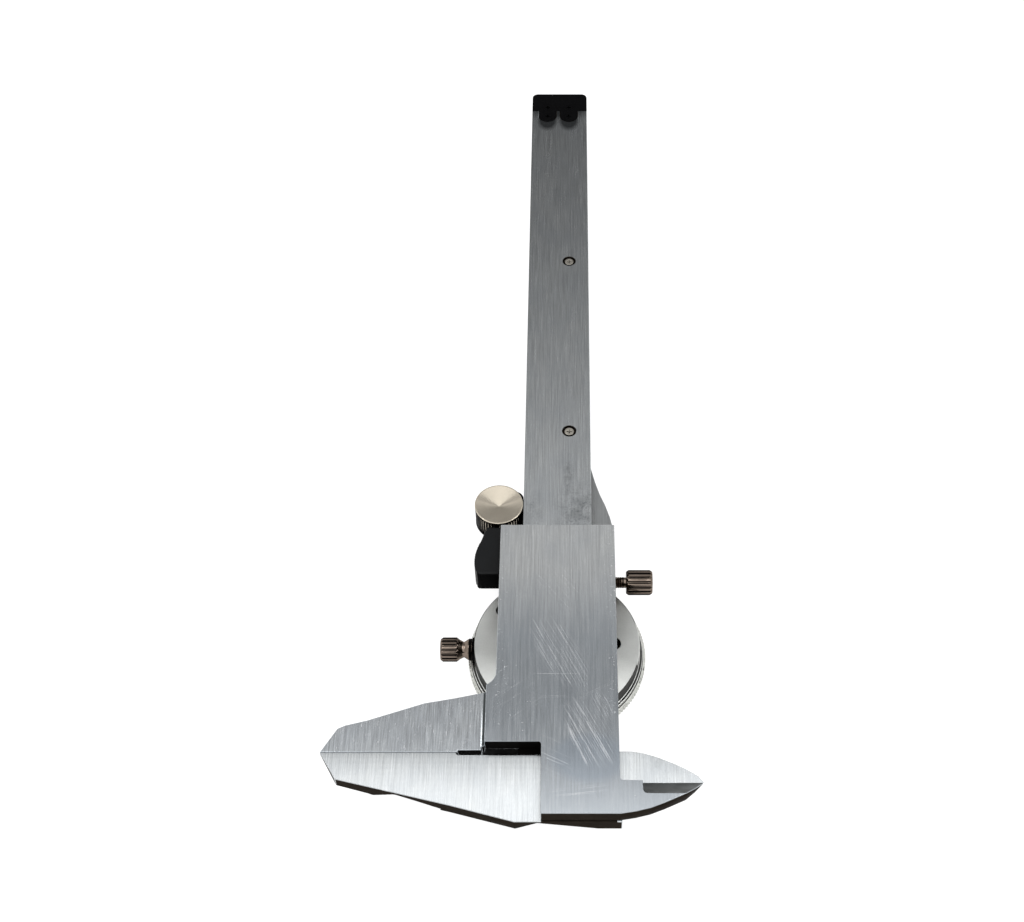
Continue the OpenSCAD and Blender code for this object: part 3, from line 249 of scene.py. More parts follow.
def clouds(tree, place, size, detail=2.0, roughness=0.55, centre=(0, 0, 0)):
    """Noise from 0 to 1 whose patches have the given size in metres."""
    vector = add(tree, "Mapping", (place, centre, (0, 0, 0), size), **TEXTURE)
    return add(tree, "TexNoise", {"Vector": vector, "Scale": 1.0, "Detail": detail, "Roughness": roughness})


def wander(tree, noise, value, by=0.15):
    """A value that noise takes down and up by a share of it."""
    return add(tree, "MapRange", (noise, 0.3, 0.7, value * (1 - by), value * (1 + by)))


def soft_spot(tree, place, centre, reach, full=1.0, strength=1.0):
    """A strength at a centre, falling to 0 at the rim of an ellipse, in millimetres.

    Full is how far the fall has to rise from the rim to count as all.
    """
    vector = add(tree, "Mapping", (place, mm(*centre, 0), (0, 0, 0), (*mm(*reach), 1.0)), **TEXTURE)
    near = add(tree, "TexGradient", (vector,), out="Fac", gradient_type="SPHERICAL")
    return add(tree, "MapRange", (near, 0.0, full, 0.0, strength))


def combined(tree, operation, first, *others):
    """Several values taken together, one after the other, by an operation."""
    for other in others:
        first = add(tree, "Math", (first, other), operation=operation)
    return first


def layered(tree, tone, *layers):
    """A tone with layers over it, each a share and the colour that it mixes in."""
    for share, over in layers:
        tone = add(tree, "Mix", {0: share, 6: tone, 7: over}, **COLOUR_MIX)
    return tone


def rgba(values, tone=1.0):
    """A colour as a node takes it, made lighter or darker by one tone or by one for each channel."""
    tones = tone if isinstance(tone, tuple) else (tone,) * 3
    return (*(min(1.0, value * by) for value, by in zip(values, tones)), 1.0)


def close(tree, shader_inputs, height=None, depth=0.0, grain=None, uneven=0.7):
    """Ends a tree in one surface, with its relief in metres and the way that its gloss is spread."""
    if height is not None:
        relief = {"Height": height, "Distance": depth, "Strength": 1.0}
        shader_inputs["Normal"] = add(tree, "Bump", relief)
    if grain is not None:
        frames = {"vector_type": "VECTOR", "convert_from": "OBJECT", "convert_to": "WORLD"}
        spread = add(tree, "VectorTransform", (grain,), **frames)
        shader_inputs["Tangent"] = add(tree, "VectorMath", (spread,), operation="NORMALIZE")
        shader_inputs["Anisotropic"] = uneven
    surface = add(tree, "BsdfPrincipled", shader_inputs)
    add(tree, "OutputMaterial", {"Surface": surface})


def scratch_band(tree, place, centre, reach, degrees, spacing, share, strength, seed):
    """Thin parallel scratches inside a soft ellipse, in millimetres.

    Reach is the ellipse's half width across the scratches and its half length along them.
    Share is the part of the noise that becomes a scratch.
    """
    turn = (0, 0, math.radians(degrees))
    inside = add(tree, "Mapping", (place, mm(*centre, 0), turn, (*mm(*reach), 1.0)), **TEXTURE)
    fade = add(tree, "TexGradient", (inside,), out="Fac", gradient_type="SPHERICAL")
    across = add(tree, "SeparateXYZ", (inside,), out="X")
    wave = add(tree, "Math", (across, reach[0] / spacing, seed), operation="MULTIPLY_ADD")
    line = add(tree, "TexNoise", {"W": wave, "Scale": 1.0, "Detail": 0.0}, noise_dimensions="1D")
    shade = add(tree, "TexNoise", {"W": wave, "Scale": 0.6, "Detail": 1.0}, noise_dimensions="1D")
    centred = combined(tree, "SUBTRACT", line, 0.5)
    near = add(tree, "Math", (centred,), operation="ABSOLUTE")
    lines = add(tree, "MapRange", (near, share * 0.4, share, 1.0, 0.0))
    shades = add(tree, "MapRange", (shade, 0.35, 0.6, 0.35, 1.0))
    broken = add(tree, "MapRange", (clouds(tree, inside, (0.09, 0.55, 1.0)), 0.4, 0.56))
    kept = add(tree, "MapRange", (fade, 0.0, 0.35, 0.0, strength))
    return combined(tree, "MULTIPLY", lines, shades, kept, broken)


def nicks(tree, place, size, share, seed):
    """Small bright nicks and burrs of uneven shape, about as wide as the given millimetres."""
    noise = clouds(tree, place, mm(size, size * 0.7, size), 4.0, 0.75, mm(seed, seed, 0))
    return add(tree, "MapRange", (noise, share, share + 0.05))


def ground_steel(name, face, roughness, run, depth, marks=None, stain=None, low_tint=0.0, jaw_highlight=0.0):
    """Ground stainless steel: grain lines run along the beam, 0.1 mm wide in the real one.

    They are drawn about three times as wide, so that they show, and run is their length in
    millimetres. The grain spreads the gloss across the beam and keeps it narrow along it.
    Marks are a function that returns worn places, which are brighter, and stain one that
    returns dull dark ones. Low tint is the share by which the lower part and the leg are made
    darker and bluer. Jaw highlight is how much brighter the jaws' backs are: a painted highlight.
    """
    material, tree, place = begin(name)
    width = 0.3
    lines = clouds(tree, place, mm(width, run, width), 3.0)
    short = clouds(tree, place, mm(width, 2.6, width), 2.0)
    broad = add(tree, "MapRange", (clouds(tree, place, mm(2.2, 30, 2.2), 3.0), 0.3, 0.7, 0.0, 0.5))
    cloudy = add(tree, "MapRange", (clouds(tree, place, mm(7, 10, 7), 4.0), 0.36, 0.66, 0.0, 0.3))
    fine = add(tree, "MapRange", (clouds(tree, place, mm(0.5, 0.8, 0.5), 3.0), 0.35, 0.65, 0.0, 0.12))
    crests = add(tree, "MapRange", (lines, 0.33, 0.67))
    crest, cloud, speck = rgba(face, 1.15), rgba(face, (0.68, 0.71, 0.76)), rgba(face, (0.6, 0.62, 0.66))
    shades = (crests, crest), (broad, rgba(face)), (cloudy, cloud), (fine, speck)
    tone = layered(tree, rgba(face, 0.72), *shades)
    along = add(tree, "SeparateXYZ", (place,), out="Y")
    # Painted highlight: the jaws' backs, below the plate, are made brighter
    if jaw_highlight:
        jaw = add(tree, "MapRange", (along, *mm(4, -1)))
        painted_highlight = {0: jaw, 6: tone, 7: (jaw_highlight, jaw_highlight, jaw_highlight, 1)}
        tone = add(tree, "Mix", painted_highlight, blend_type="MULTIPLY", **COLOUR_MIX)
    # The lower part and the leg are made darker and bluer
    if low_tint:
        low = add(tree, "MapRange", (along, *mm(44, 26), 0.0, low_tint))
        leg = soft_spot(tree, place, (7, -3), (13, 9), 0.5, 0.95)
        tinted_zone = combined(tree, "MAXIMUM", low, leg)
        tone = layered(tree, tone, (tinted_zone, rgba(face, (0.66, 0.72, 0.8))))
    shallow = combined(tree, "MULTIPLY", short, 0.6)
    height = combined(tree, "ADD", lines, shallow)
    rough = wander(tree, lines, roughness)
    if stain:
        dark = rgba(colours().stain)
        tone = layered(tree, tone, (stain(tree, place), dark))
    if marks:
        worn = marks(tree, place)
        tone = layered(tree, tone, (worn, rgba(colours().worn)))
        scuff = combined(tree, "MULTIPLY", worn, 0.25)
        rough = combined(tree, "ADD", rough, scuff)
    across = add(tree, "CombineXYZ", {"X": 1.0})
    close(tree, {"Base Color": tone, "Metallic": 1.0, "Roughness": rough}, height, depth * MM, across)
    return material


def dull_metal(name, face, roughness, metallic=1.0):
    """Milled or plated metal left dull: a fine even grain with faint patches.

    With metallic at 0 it is black oxide, and also the near-black painted shade of slots, recesses and
    grooves; these hardly shine.
    """
    material, tree, place = begin(name)
    fine = clouds(tree, place, mm(0.3, 0.3, 0.3), 3.0)
    patch = add(tree, "MapRange", (clouds(tree, place, mm(3, 3, 3)), 0.3, 0.7))
    tone = layered(tree, rgba(face, 0.8), (patch, rgba(face, 1.15)))
    rough = wander(tree, fine, roughness)
    inputs = {"Base Color": tone, "Metallic": metallic, "Roughness": rough}
    inputs["Specular Tint"] = (0.5, 0.5, 0.5, 1)
    if metallic < 1:
        inputs["Specular IOR Level"] = 0.03
    close(tree, inputs, fine, 0.004 * MM)
    return material


def turned_metal(name, face, roughness, centre, spacing, depth, haze=0.25, uneven=0.9):
    """Lathe-turned and plated metal: tool rings round the axis spread the light into sectors.

    A ring texture has its first ring at pi/10 of its own unit, which sets the rings' scale.
    """
    material, tree, place = begin(name)
    about = add(tree, "Mapping", (place, centre), **TEXTURE)
    ring_scale = 2 * math.pi / 20 / (spacing * MM)
    pattern = {"wave_type": "RINGS", "rings_direction": "Z"}
    rings = add(tree, "TexWave", {"Vector": about, "Scale": ring_scale, "Distortion": 0.0}, "Fac", **pattern)
    grain = add(tree, "MapRange", (clouds(tree, place, mm(0.25, 0.25, 0.25)), 0.3, 0.75, 0.0, 0.3))
    patch = clouds(tree, place, mm(5, 5, 5), 4.0)
    dim = add(tree, "MapRange", (patch, 0.35, 0.7, 0.0, haze))
    tone = layered(tree, rgba(face), (dim, rgba(face, 0.6)))
    tone = layered(tree, tone, (grain, rgba(face, 1.2)))
    rough = wander(tree, patch, roughness, 0.1)
    outward = add(tree, "VectorMath", (about, (1, 1, 0)), operation="MULTIPLY")
    inputs = {"Base Color": tone, "Metallic": 1.0, "Roughness": rough}
    close(tree, inputs, rings, depth * MM, outward, uneven)
    return material


def dirty_ring(name, face, centre, rim):
    """Back of the bezel: plated as its ribs are, with painted shade in the gap beside the case's rim."""
    material, tree, place = begin(name)
    about = add(tree, "Mapping", (place, centre), **TEXTURE)
    flat = add(tree, "VectorMath", (about, (1, 1, 0)), operation="MULTIPLY")
    reach = add(tree, "VectorMath", (flat,), out="Value", operation="LENGTH")
    beyond_gap = add(tree, "MapRange", (reach, rim + 0.14 * MM, rim + 0.24 * MM))
    fine = clouds(tree, place, mm(0.3, 0.3, 0.3), 3.0)
    tone = layered(tree, rgba(colours().dirt), (beyond_gap, rgba(face)))
    rough = add(tree, "MapRange", (fine, 0.3, 0.7, 0.45, 0.6))
    close(tree, {"Base Color": tone, "Metallic": 1.0, "Roughness": rough}, fine, 0.004 * MM)
    return material


def moulded_plastic(name, face, roughness, gloss):
    """Moulded black plastic: an eroded mould gives it a fine leathery grain."""
    material, tree, place = begin(name)
    grain = clouds(tree, place, mm(0.22, 0.22, 0.22), 3.0)
    patch = add(tree, "MapRange", (clouds(tree, place, mm(4, 4, 4)), 0.3, 0.7))
    tone = layered(tree, rgba(face, 0.8), (patch, rgba(face, 1.3)))
    rough = wander(tree, grain, roughness)
    inputs = {"Base Color": tone, "IOR": 1.5, "Roughness": rough, "Specular IOR Level": gloss}
    close(tree, inputs, grain, 0.012 * MM)
    return material


def painted(name, face, roughness):
    """Baked enamel or ink: even and slightly soft, with a faint drift of tone."""
    material, tree, place = begin(name)
    patch = clouds(tree, place, mm(2, 2, 2), 3.0)
    drift = add(tree, "MapRange", (patch, 0.3, 0.7))
    tone = layered(tree, rgba(face, 0.94), (drift, rgba(face, 1.04)))
    close(tree, {"Base Color": tone, "IOR": 1.5, "Roughness": roughness}, patch, 0.002 * MM)
    return material


def clear_acrylic(name):
    """Clear acrylic of the crystal: hairline haze in the polish."""
    material, tree, place = begin(name)
    rough = add(tree, "MapRange", (clouds(tree, place, mm(0.3, 6, 1), 3.0), 0.45, 0.75, 0.01, 0.07))
    close(tree, {"Base Color": (1, 1, 1, 1), "IOR": 1.49, "Transmission Weight": 1.0, "Roughness": rough})
    return material


# Each scratch band has its centre, reach, turn in degrees, spacing, share, strength and seed

PLATE_SCRATCHES = (
    ((0.6, 22.6), (5.2, 11.5), 27, 0.66, 0.06, 0.5, 3.1),
    ((3.4, 19.0), (2.6, 8.0), 22, 0.55, 0.05, 0.35, 5.7),
    ((6.9, 3.0), (4.6, 9.5), 27, 0.66, 0.06, 0.62, 9.7),
    ((4.9, 0.4), (1.6, 6.5), 24, 0.5, 0.07, 0.7, 12.3),
    ((9.6, 9.2), (2.4, 4.2), 24, 0.6, 0.06, 0.5, 17.3),
    ((0.2, 17.3), (0.35, 6.6), 90, 0.5, 0.08, 0.5, 1.35),
    ((-0.4, 11.4), (0.35, 5.6), 90, 0.5, 0.08, 0.45, 6.25),
    ((6.0, 12.0), (1.2, 9.0), 118, 0.9, 0.05, 0.2, 26.0),
    ((-8.0, 10.0), (7.0, 7.0), -52, 1.9, 0.02, 0.2, 22.0),
    ((0.0, 40.0), (5.0, 9.0), 38, 2.6, 0.02, 0.25, 31.0),
    ((-2.0, -3.0), (6.0, 6.0), 64, 2.2, 0.025, 0.25, 41.0),
    ((5.0, -10.0), (1.5, 8.0), 97, 1.2, 0.03, 0.35, 47.0),
)
BEAM_SCRATCHES = (
    ((2, 110), (6, 30), 8, 2.0, 0.02, 0.12, 8.0),
    ((-2, 180), (6, 30), -6, 2.0, 0.02, 0.12, 12.0),
)

# Each stain has its centre, reach, full rise and strength

STAINS = (
    ((6.5, 60), (9, 14), 0.6, 1.0),
    ((2.6, 73), (1.6, 9), 0.7, 0.9),
    ((-6.5, 62), (4, 9), 0.6, 0.5),
    ((24, 0.5), (9, 6), 0.6, 0.55),
)


def plate_marks(tree, place):
    """Scratches and nicks on the slider's back, set where the hand and the bench wear it."""
    speckles = combined(tree, "MULTIPLY", nicks(tree, place, 1.3, 0.735, 3.3), 0.6)
    scratches = [scratch_band(tree, place, *band) for band in PLATE_SCRATCHES]
    side = add(tree, "Math", (add(tree, "SeparateXYZ", (place,), out="X"),), operation="ABSOLUTE")
    along = add(tree, "SeparateXYZ", (place,), out="Y")
    inside = add(tree, "MapRange", (side, *mm(13.9, 13.3)))
    rim = add(tree, "MapRange", (side, *mm(10, 12.9)))
    above = add(tree, "MapRange", (along, *mm(2, 8)))
    corner = soft_spot(tree, place, (-12, 12), (11, 17), 0.5)
    edge, burrs = nicks(tree, place, 0.8, 0.63, 0.7), nicks(tree, place, 1.0, 0.66, 5.1)
    edge = combined(tree, "MULTIPLY", edge, rim, inside, above)
    burrs = combined(tree, "MULTIPLY", burrs, corner, inside)
    total = combined(tree, "MAXIMUM", speckles, *scratches, edge, burrs)
    return combined(tree, "MULTIPLY", total, 0.7)


def beam_marks(tree, place):
    """A few nicks and fine scratches on the beam."""
    scratches = [scratch_band(tree, place, *band) for band in BEAM_SCRATCHES]
    total = combined(tree, "MAXIMUM", nicks(tree, place, 1.4, 0.74, 0.9), *scratches)
    return combined(tree, "MULTIPLY", total, 0.5)


def jaw_marks(tree, place):
    """Short bright flecks that the grinding wheel leaves along the grain, and a few nicks."""
    grain = clouds(tree, place, (*mm(0.35, 1.9), 1.0), 2.0, 0.5)
    flecks = add(tree, "MapRange", (grain, 0.66, 0.74, 0.0, 0.4))
    faint = combined(tree, "MULTIPLY", nicks(tree, place, 0.9, 0.72, 2.9), 0.6)
    return combined(tree, "MAXIMUM", flecks, faint)


def beam_stain(tree, place):
    """Oil and dust that the slider leaves on the beam just past its end, a mottled nib, and dark lobes and a
    dark patch below the end stop.
    """
    blotch = add(tree, "MapRange", (clouds(tree, place, mm(2.0, 3.2, 3), 3.0), 0.38, 0.64, 0.06, 0.36))
    speck = add(tree, "MapRange", (clouds(tree, place, mm(0.5, 0.6, 1), 4.0), 0.5, 0.68, 0.0, 0.36))
    mottle = combined(tree, "ADD", blotch, speck)
    where = combined(tree, "MAXIMUM", *(soft_spot(tree, place, *spot) for spot in STAINS))
    speckled = combined(tree, "MULTIPLY", where, mottle)
    # Two dark lobes and a broad dark patch are made below the end stop
    end_lobes = [soft_spot(tree, place, (x, 206.0), (3.6, 5.6)) for x in (-3.5, 2.7)]
    end_patch = combined(tree, "MAXIMUM", *end_lobes, soft_spot(tree, place, (-0.4, 213.5), (13, 9.5)))
    stained = combined(tree, "MAXIMUM", speckled, add(tree, "MapRange", (end_patch, 0.06, 0.42, 0.0, 0.96)))
    back = add(tree, "MapRange", (add(tree, "SeparateXYZ", (place,), out="Z"), *mm(-1.5, -0.9)))
    return combined(tree, "MULTIPLY", stained, back)


# Roughness of the plain finishes: dull metals, with the darker copies that paint shade, and the coatings
# that hardly shine, with the painted shade

DULL_METALS = {
    "cut_steel": 0.45,
    "step_steel": 0.5,
    "honed_steel": 0.35,
    "chrome_wall": 0.35,
    "chrome_rib": 0.55,
    "nickel_wall": 0.3,
    "dark_nickel": 0.16,
    "screw_nickel": 0.3,
    "screw_steel": 0.34,
    "brass": 0.28,
    "blued_steel": 0.25,
}
COATINGS = {"groove": 0.6, "black_oxide": 0.45}
FINISHES = {}


def make_finish(name):
    """A new material for a finish."""
    c = colours()
    if name in DULL_METALS:
        return dull_metal(name, getattr(c, name), DULL_METALS[name])
    if name in COATINGS:
        return dull_metal(name, getattr(c, name), COATINGS[name], metallic=0.0)
    dial = tuple(middle("bezel"))
    roller = tuple(middle("thumb_roller"))
    case_low, case_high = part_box("dial_case")
    rim = (case_high.x - case_low.x) / 2
    makers = {
        "ground_slider": (ground_steel, c.steel, 0.22, 9, 0.006, plate_marks, None, 0.55),
        "ground_jaw": (ground_steel, c.jaw_steel, 0.24, 7, 0.008, jaw_marks),
        "ground_beam": (ground_steel, c.beam_steel, 0.24, 12, 0.006, beam_marks, beam_stain, 0.0, 1.2),
        "ground_plain": (ground_steel, c.cover_steel, 0.3, 12, 0.006),
        "turned_chrome": (turned_metal, c.chrome, 0.42, dial, 0.24, 0.001),
        "turned_nickel": (turned_metal, c.nickel, 0.23, roller, 0.16, 0.0005, 0.15, 0.88),
        "bezel_back": (dirty_ring, c.chrome_rib, dial, rim),
        "black_plastic": (moulded_plastic, c.black_plastic, 0.42, 0.2),
        "worn_plastic": (moulded_plastic, c.worn_plastic, 0.4, 0.01),
        "dial_enamel": (painted, c.enamel, 0.35),
        "ink": (painted, c.ink, 0.5),
        "crystal_clear": (clear_acrylic,),
    }
    make, *values = makers[name]
    return make(name, *values)


def finish(name):
    """A material by its finish, made once."""
    if name not in FINISHES:
        FINISHES[name] = make_finish(name)
    return FINISHES[name]


# Pieces

TOUCHING = 1e-7
FLAT = math.radians(0.3)
FACET = math.radians(2.5)
SHARP = math.radians(30)
RIBBED = math.radians(75)


def dress(look, *nodes):
    """Gives frame nodes their material."""
    for node in nodes:
        slots = NODES[node].data.materials
        slots.clear()
        slots.append(finish(look))


def piece(bm, name, body, finishes, replaced=()):
    """Turns a bmesh into a piece that rides on a body and stands for the nodes that it replaces."""
    mesh = bpy.data.meshes.new(name)
    bm.to_mesh(mesh)
    bm.free()
    for item in finishes:
        mesh.materials.append(finish(item))
    made = bpy.data.objects.new(name, mesh)
    bpy.context.scene.collection.objects.link(made)
    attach(made, body)
    if replaced:
        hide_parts(*replaced)
    return made


def merged_copy(node):
    """A closed copy of a frame node, its flat faces joined up."""
    bm = bmesh.new()
    bm.from_mesh(NODES[node].data)
    for layer in list(bm.loops.layers.uv):
        bm.loops.layers.uv.remove(layer)
    bmesh.ops.remove_doubles(bm, verts=bm.verts, dist=TOUCHING)
    bmesh.ops.dissolve_limit(
        bm, angle_limit=FLAT, verts=bm.verts, edges=bm.edges, use_dissolve_boundaries=False
    )
    bm.normal_update()
    return bm


def curved_faces(bm, corner):
    """The faces of turned walls and fillets: a flat face beside a narrow strip stays flat."""
    curved = set()
    for edge in bm.edges:
        if len(edge.link_faces) != 2:
            continue
        if FACET < edge.calc_face_angle(0.0) <= corner:
            small, large = sorted(edge.link_faces, key=lambda f: f.calc_area())
            curved.add(small)
            if large.calc_area() < 3 * small.calc_area():
                curved.add(large)
    return {face for face in curved if abs(face.normal.z) < 0.9995}


def ease_edges(bm, width, corner=SHARP, segments=2):
    """Rounds the sharp edges; faces beside thin steps are left alone."""
    thin = {f for f in bm.faces if 2 * f.calc_area() / f.calc_perimeter() < 1.2 * width}
    curved = curved_faces(bm, corner)
    sharp = [
        edge
        for edge in bm.edges
        if len(edge.link_faces) == 2
        and edge.calc_face_angle(0.0) > corner
        and not thin.intersection(edge.link_faces)
    ]
    for face in bm.faces:
        face.smooth = face in curved
    eased = bmesh.ops.bevel(
        bm, geom=sharp, offset=width, offset_type="OFFSET", segments=segments, profile=0.5,
        affect="EDGES", clamp_overlap=False, material=-1, loop_slide=True,
    )
    for face in eased["faces"]:
        face.smooth = True
        face.material_index = 0


def sides_dull(bm, step):
    """Gives walls the second material, and sloping faces such as fillets the one of step: darker copies that
    paint shade on them.
    """
    for face in bm.faces:
        if abs(face.normal.z) < 0.2:
            face.material_index = 1
        elif 0 < face.normal.z < 0.985:
            face.material_index = step


def eased_node(node, name, body, slot, finishes, width, side_shade=True, step=1, shape=None, after=None, **easing):
    """A finished copy of a frame node with eased edges and, if asked, sides and slopes painted darker as
    shade.
    """
    bm = merged_copy(node)
    if side_shade:
        sides_dull(bm, step)
    if shape:
        shape(bm)
    ease_edges(bm, width, **easing)
    if after:
        after(bm)
    return piece(bm, name, body, finishes, [node])


def split_at(bm, place, direction):
    """Cuts the faces along a plane, without parting them."""
    everything = bm.verts[:] + bm.edges[:] + bm.faces[:]
    bmesh.ops.bisect_plane(bm, geom=everything, plane_co=place, plane_no=direction, dist=TOUCHING)


def numeral(bm, text, height, where):
    """Adds a figure whose middle is at a place; it is read from the front, along the beam.

    A figure of the built-in font is 0.7 of the font's size high.
    """
    curve = bpy.data.curves.new("numeral", "FONT")
    curve.body = text
    curve.size = height / 0.7
    curve.align_x = "CENTER"
    curve.align_y = "CENTER"
    curve.resolution_u = 3
    curve.extrude = sizes().ink_height / 2
    maker = bpy.data.objects.new("numeral", curve)
    mesh = bpy.data.meshes.new_from_object(maker)
    right, up = Vector((0, 1, 0)), Vector((1, 0, 0))
    turn = Matrix([right, up, right.cross(up)]).transposed().to_4x4()
    mesh.transform(Matrix.Translation(where) @ turn)
    bm.from_mesh(mesh)
    bpy.data.objects.remove(maker)
    bpy.data.curves.remove(curve)
    bpy.data.meshes.remove(mesh)


def line(bm, middle_at, size, turn=0.0):
    """A printed line as a thin bar."""
    place = Matrix.Translation(middle_at) @ Matrix.Rotation(turn, 4, "Z") @ Matrix.Diagonal((*size, 1))
    bmesh.ops.create_cube(bm, size=1.0, matrix=place)


def tick(number, lengths):
    """Length of a numbered line: the first of three for each tenth, the second for each fifth."""
    return lengths[0 if number % 10 == 0 else 1 if number % 5 == 0 else 2]


class OBJECT_OT_caliper_stage(bpy.types.Operator):
    """Camera, lights, floor and room"""

    bl_idname = "object.caliper_stage"
    bl_label = "Stage"

    OVERHEAD_PLACE = (0, -0.26, 1.0)
    OVERHEAD_SIZE = (1.1, 1.24)
    SIDE_PLACE = (0.62, 0.02, 0.9)
    SIDE_SIZE = (0.22, 0.5)
    SIDE_LEAN = math.radians(34)
    FLOOR_SIZE = (6, 6)
    CARD_PLACE = (0, 1.44, 1.0)
    CARD_SIZE = (3.0, 2.16)

    # How far along the card, in metres, and how bright it is there

    LEVELS = (
        (0.36, 1.9), (0.42, 2.2), (0.45, 2.35), (0.466, 1.68),
        (0.476, 0.74), (0.488, 0.46), (0.56, 0.40), (0.64, 0.46),
        (0.69, 0.66), (0.74, 1.02), (0.78, 0.9), (0.84, 0.68),
        (0.92, 0.58), (1.02, 0.49), (1.16, 0.345), (1.50, 0.175),
    )

    def execute(self, context):
        scene = context.scene
        values = scene.caliper.stage
        scene.view_settings.view_transform = "Standard"
        data = bpy.data.cameras.new("camera")
        data.sensor_width = 36
        data.lens = values.lens
        data.shift_x, data.shift_y = values.shift
        data.clip_start = 0.01
        camera = bpy.data.objects.new("camera", data)
        camera.location = values.camera_place
        camera.rotation_euler = (values.camera_pitch, 0, 0)
        scene.collection.objects.link(camera)
        scene.camera = camera
        flat = (0, 0, 0)
        self.softbox(scene, "overhead", self.OVERHEAD_PLACE, flat, self.OVERHEAD_SIZE, values.overhead)
        across, along, up = self.SIDE_PLACE
        for side in (-1, 1):
            lean = (0, side * self.SIDE_LEAN, 0)
            self.softbox(scene, "side", (side * across, along, up), lean, self.SIDE_SIZE, values.side)
        self.room(scene, values.room)
        self.floor()
        self.reflector()
        return {"FINISHED"}

    def softbox(self, scene, name, place, turn, size, power):
        """A soft lamp that the camera doesn't see."""
        data = bpy.data.lights.new(name, "AREA")
        data.shape = "RECTANGLE"
        data.size, data.size_y = size
        data.energy = power
        lamp = bpy.data.objects.new(name, data)
        lamp.location = place
        lamp.rotation_euler = turn
        lamp.visible_camera = False
        scene.collection.objects.link(lamp)

    def seen(self, tree):
        """1 for the rays that look straight at, or reflect or refract, what they meet."""
        kinds = ("Is Camera Ray", "Is Glossy Ray", "Is Transmission Ray")
        return combined(tree, "MAXIMUM", *(add(tree, "LightPath", out=kind) for kind in kinds))

    def room(self, scene, strength):
        """A white room for what is seen, and a plain strength for matt surfaces."""
        world = scene.world or bpy.data.worlds.new("room")
        scene.world = world
        world.use_nodes = True
        tree = world.node_tree
        tree.nodes.clear()
        strength = add(tree, "MapRange", (self.seen(tree), 0, 1, strength, 1.0))
        light = add(tree, "Background", {"Color": (1, 1, 1, 1), "Strength": strength})
        add(tree, "OutputWorld", {"Surface": light})

    def floor(self):
        """A plain white floor that keeps a soft shadow, and glows a little more further out."""
        material, tree, place = begin("floor")
        patches = clouds(tree, place, (0.05, 0.05, 0.05))
        dark, light = rgba(linear("#b1b1b1")), rgba(linear("#b5b5b5"))
        tone = layered(tree, dark, (patches, light))
        matt = add(tree, "BsdfDiffuse", {"Color": tone})
        away = add(tree, "VectorMath", (place,), out="Value", operation="LENGTH")
        glow = add(tree, "MapRange", (away, 0.5, 1.6, 0.8, 0.94))
        glow = combined(tree, "MULTIPLY", self.seen(tree), glow)
        lit = add(tree, "Emission", {"Color": (1, 1, 1, 1), "Strength": glow})
        add(tree, "OutputMaterial", {"Surface": add(tree, "AddShader", (matt, lit))})
        below = CAD_BOX[0][2] - 0.02 * MM
        self.plane("floor", material, (0, 0, below), self.FLOOR_SIZE)

    def reflector(self):
        """A card over the far side that shades off, so that the ground faces darken along the beam."""
        material, tree, place = begin("reflector")
        along = add(tree, "SeparateXYZ", (place,), out="Y")
        first, last = self.LEVELS[0][0], self.LEVELS[-1][0]
        ramp = add(tree, "ValToRGB", (add(tree, "MapRange", (along, first, last)),))
        elements = ramp.node.color_ramp.elements
        while len(elements) < len(self.LEVELS):
            elements.new(0.5)
        for element, (at, grey) in zip(elements, self.LEVELS):
            element.position = (at - first) / (last - first)
            element.color = (grey, grey, grey, 1)
        lit = add(tree, "Emission", {"Color": ramp, "Strength": 1.0})
        add(tree, "OutputMaterial", {"Surface": lit})
        card = self.plane("reflector", material, self.CARD_PLACE, self.CARD_SIZE)
        card.visible_camera = False
        card.visible_diffuse = False
        card.visible_shadow = False

    def plane(self, name, material, place, size):
        """A level plane of the stage."""
        bm = bmesh.new()
        matrix = Matrix.Translation(place) @ Matrix.Diagonal((*size, 1, 1))
        bmesh.ops.create_grid(bm, x_segments=1, y_segments=1, size=0.5, matrix=matrix)
        mesh = bpy.data.meshes.new(name)
        bm.to_mesh(mesh)
        bm.free()
        mesh.materials.append(material)
        made = bpy.data.objects.new(name, mesh)
        bpy.context.scene.collection.objects.link(made)
        return made


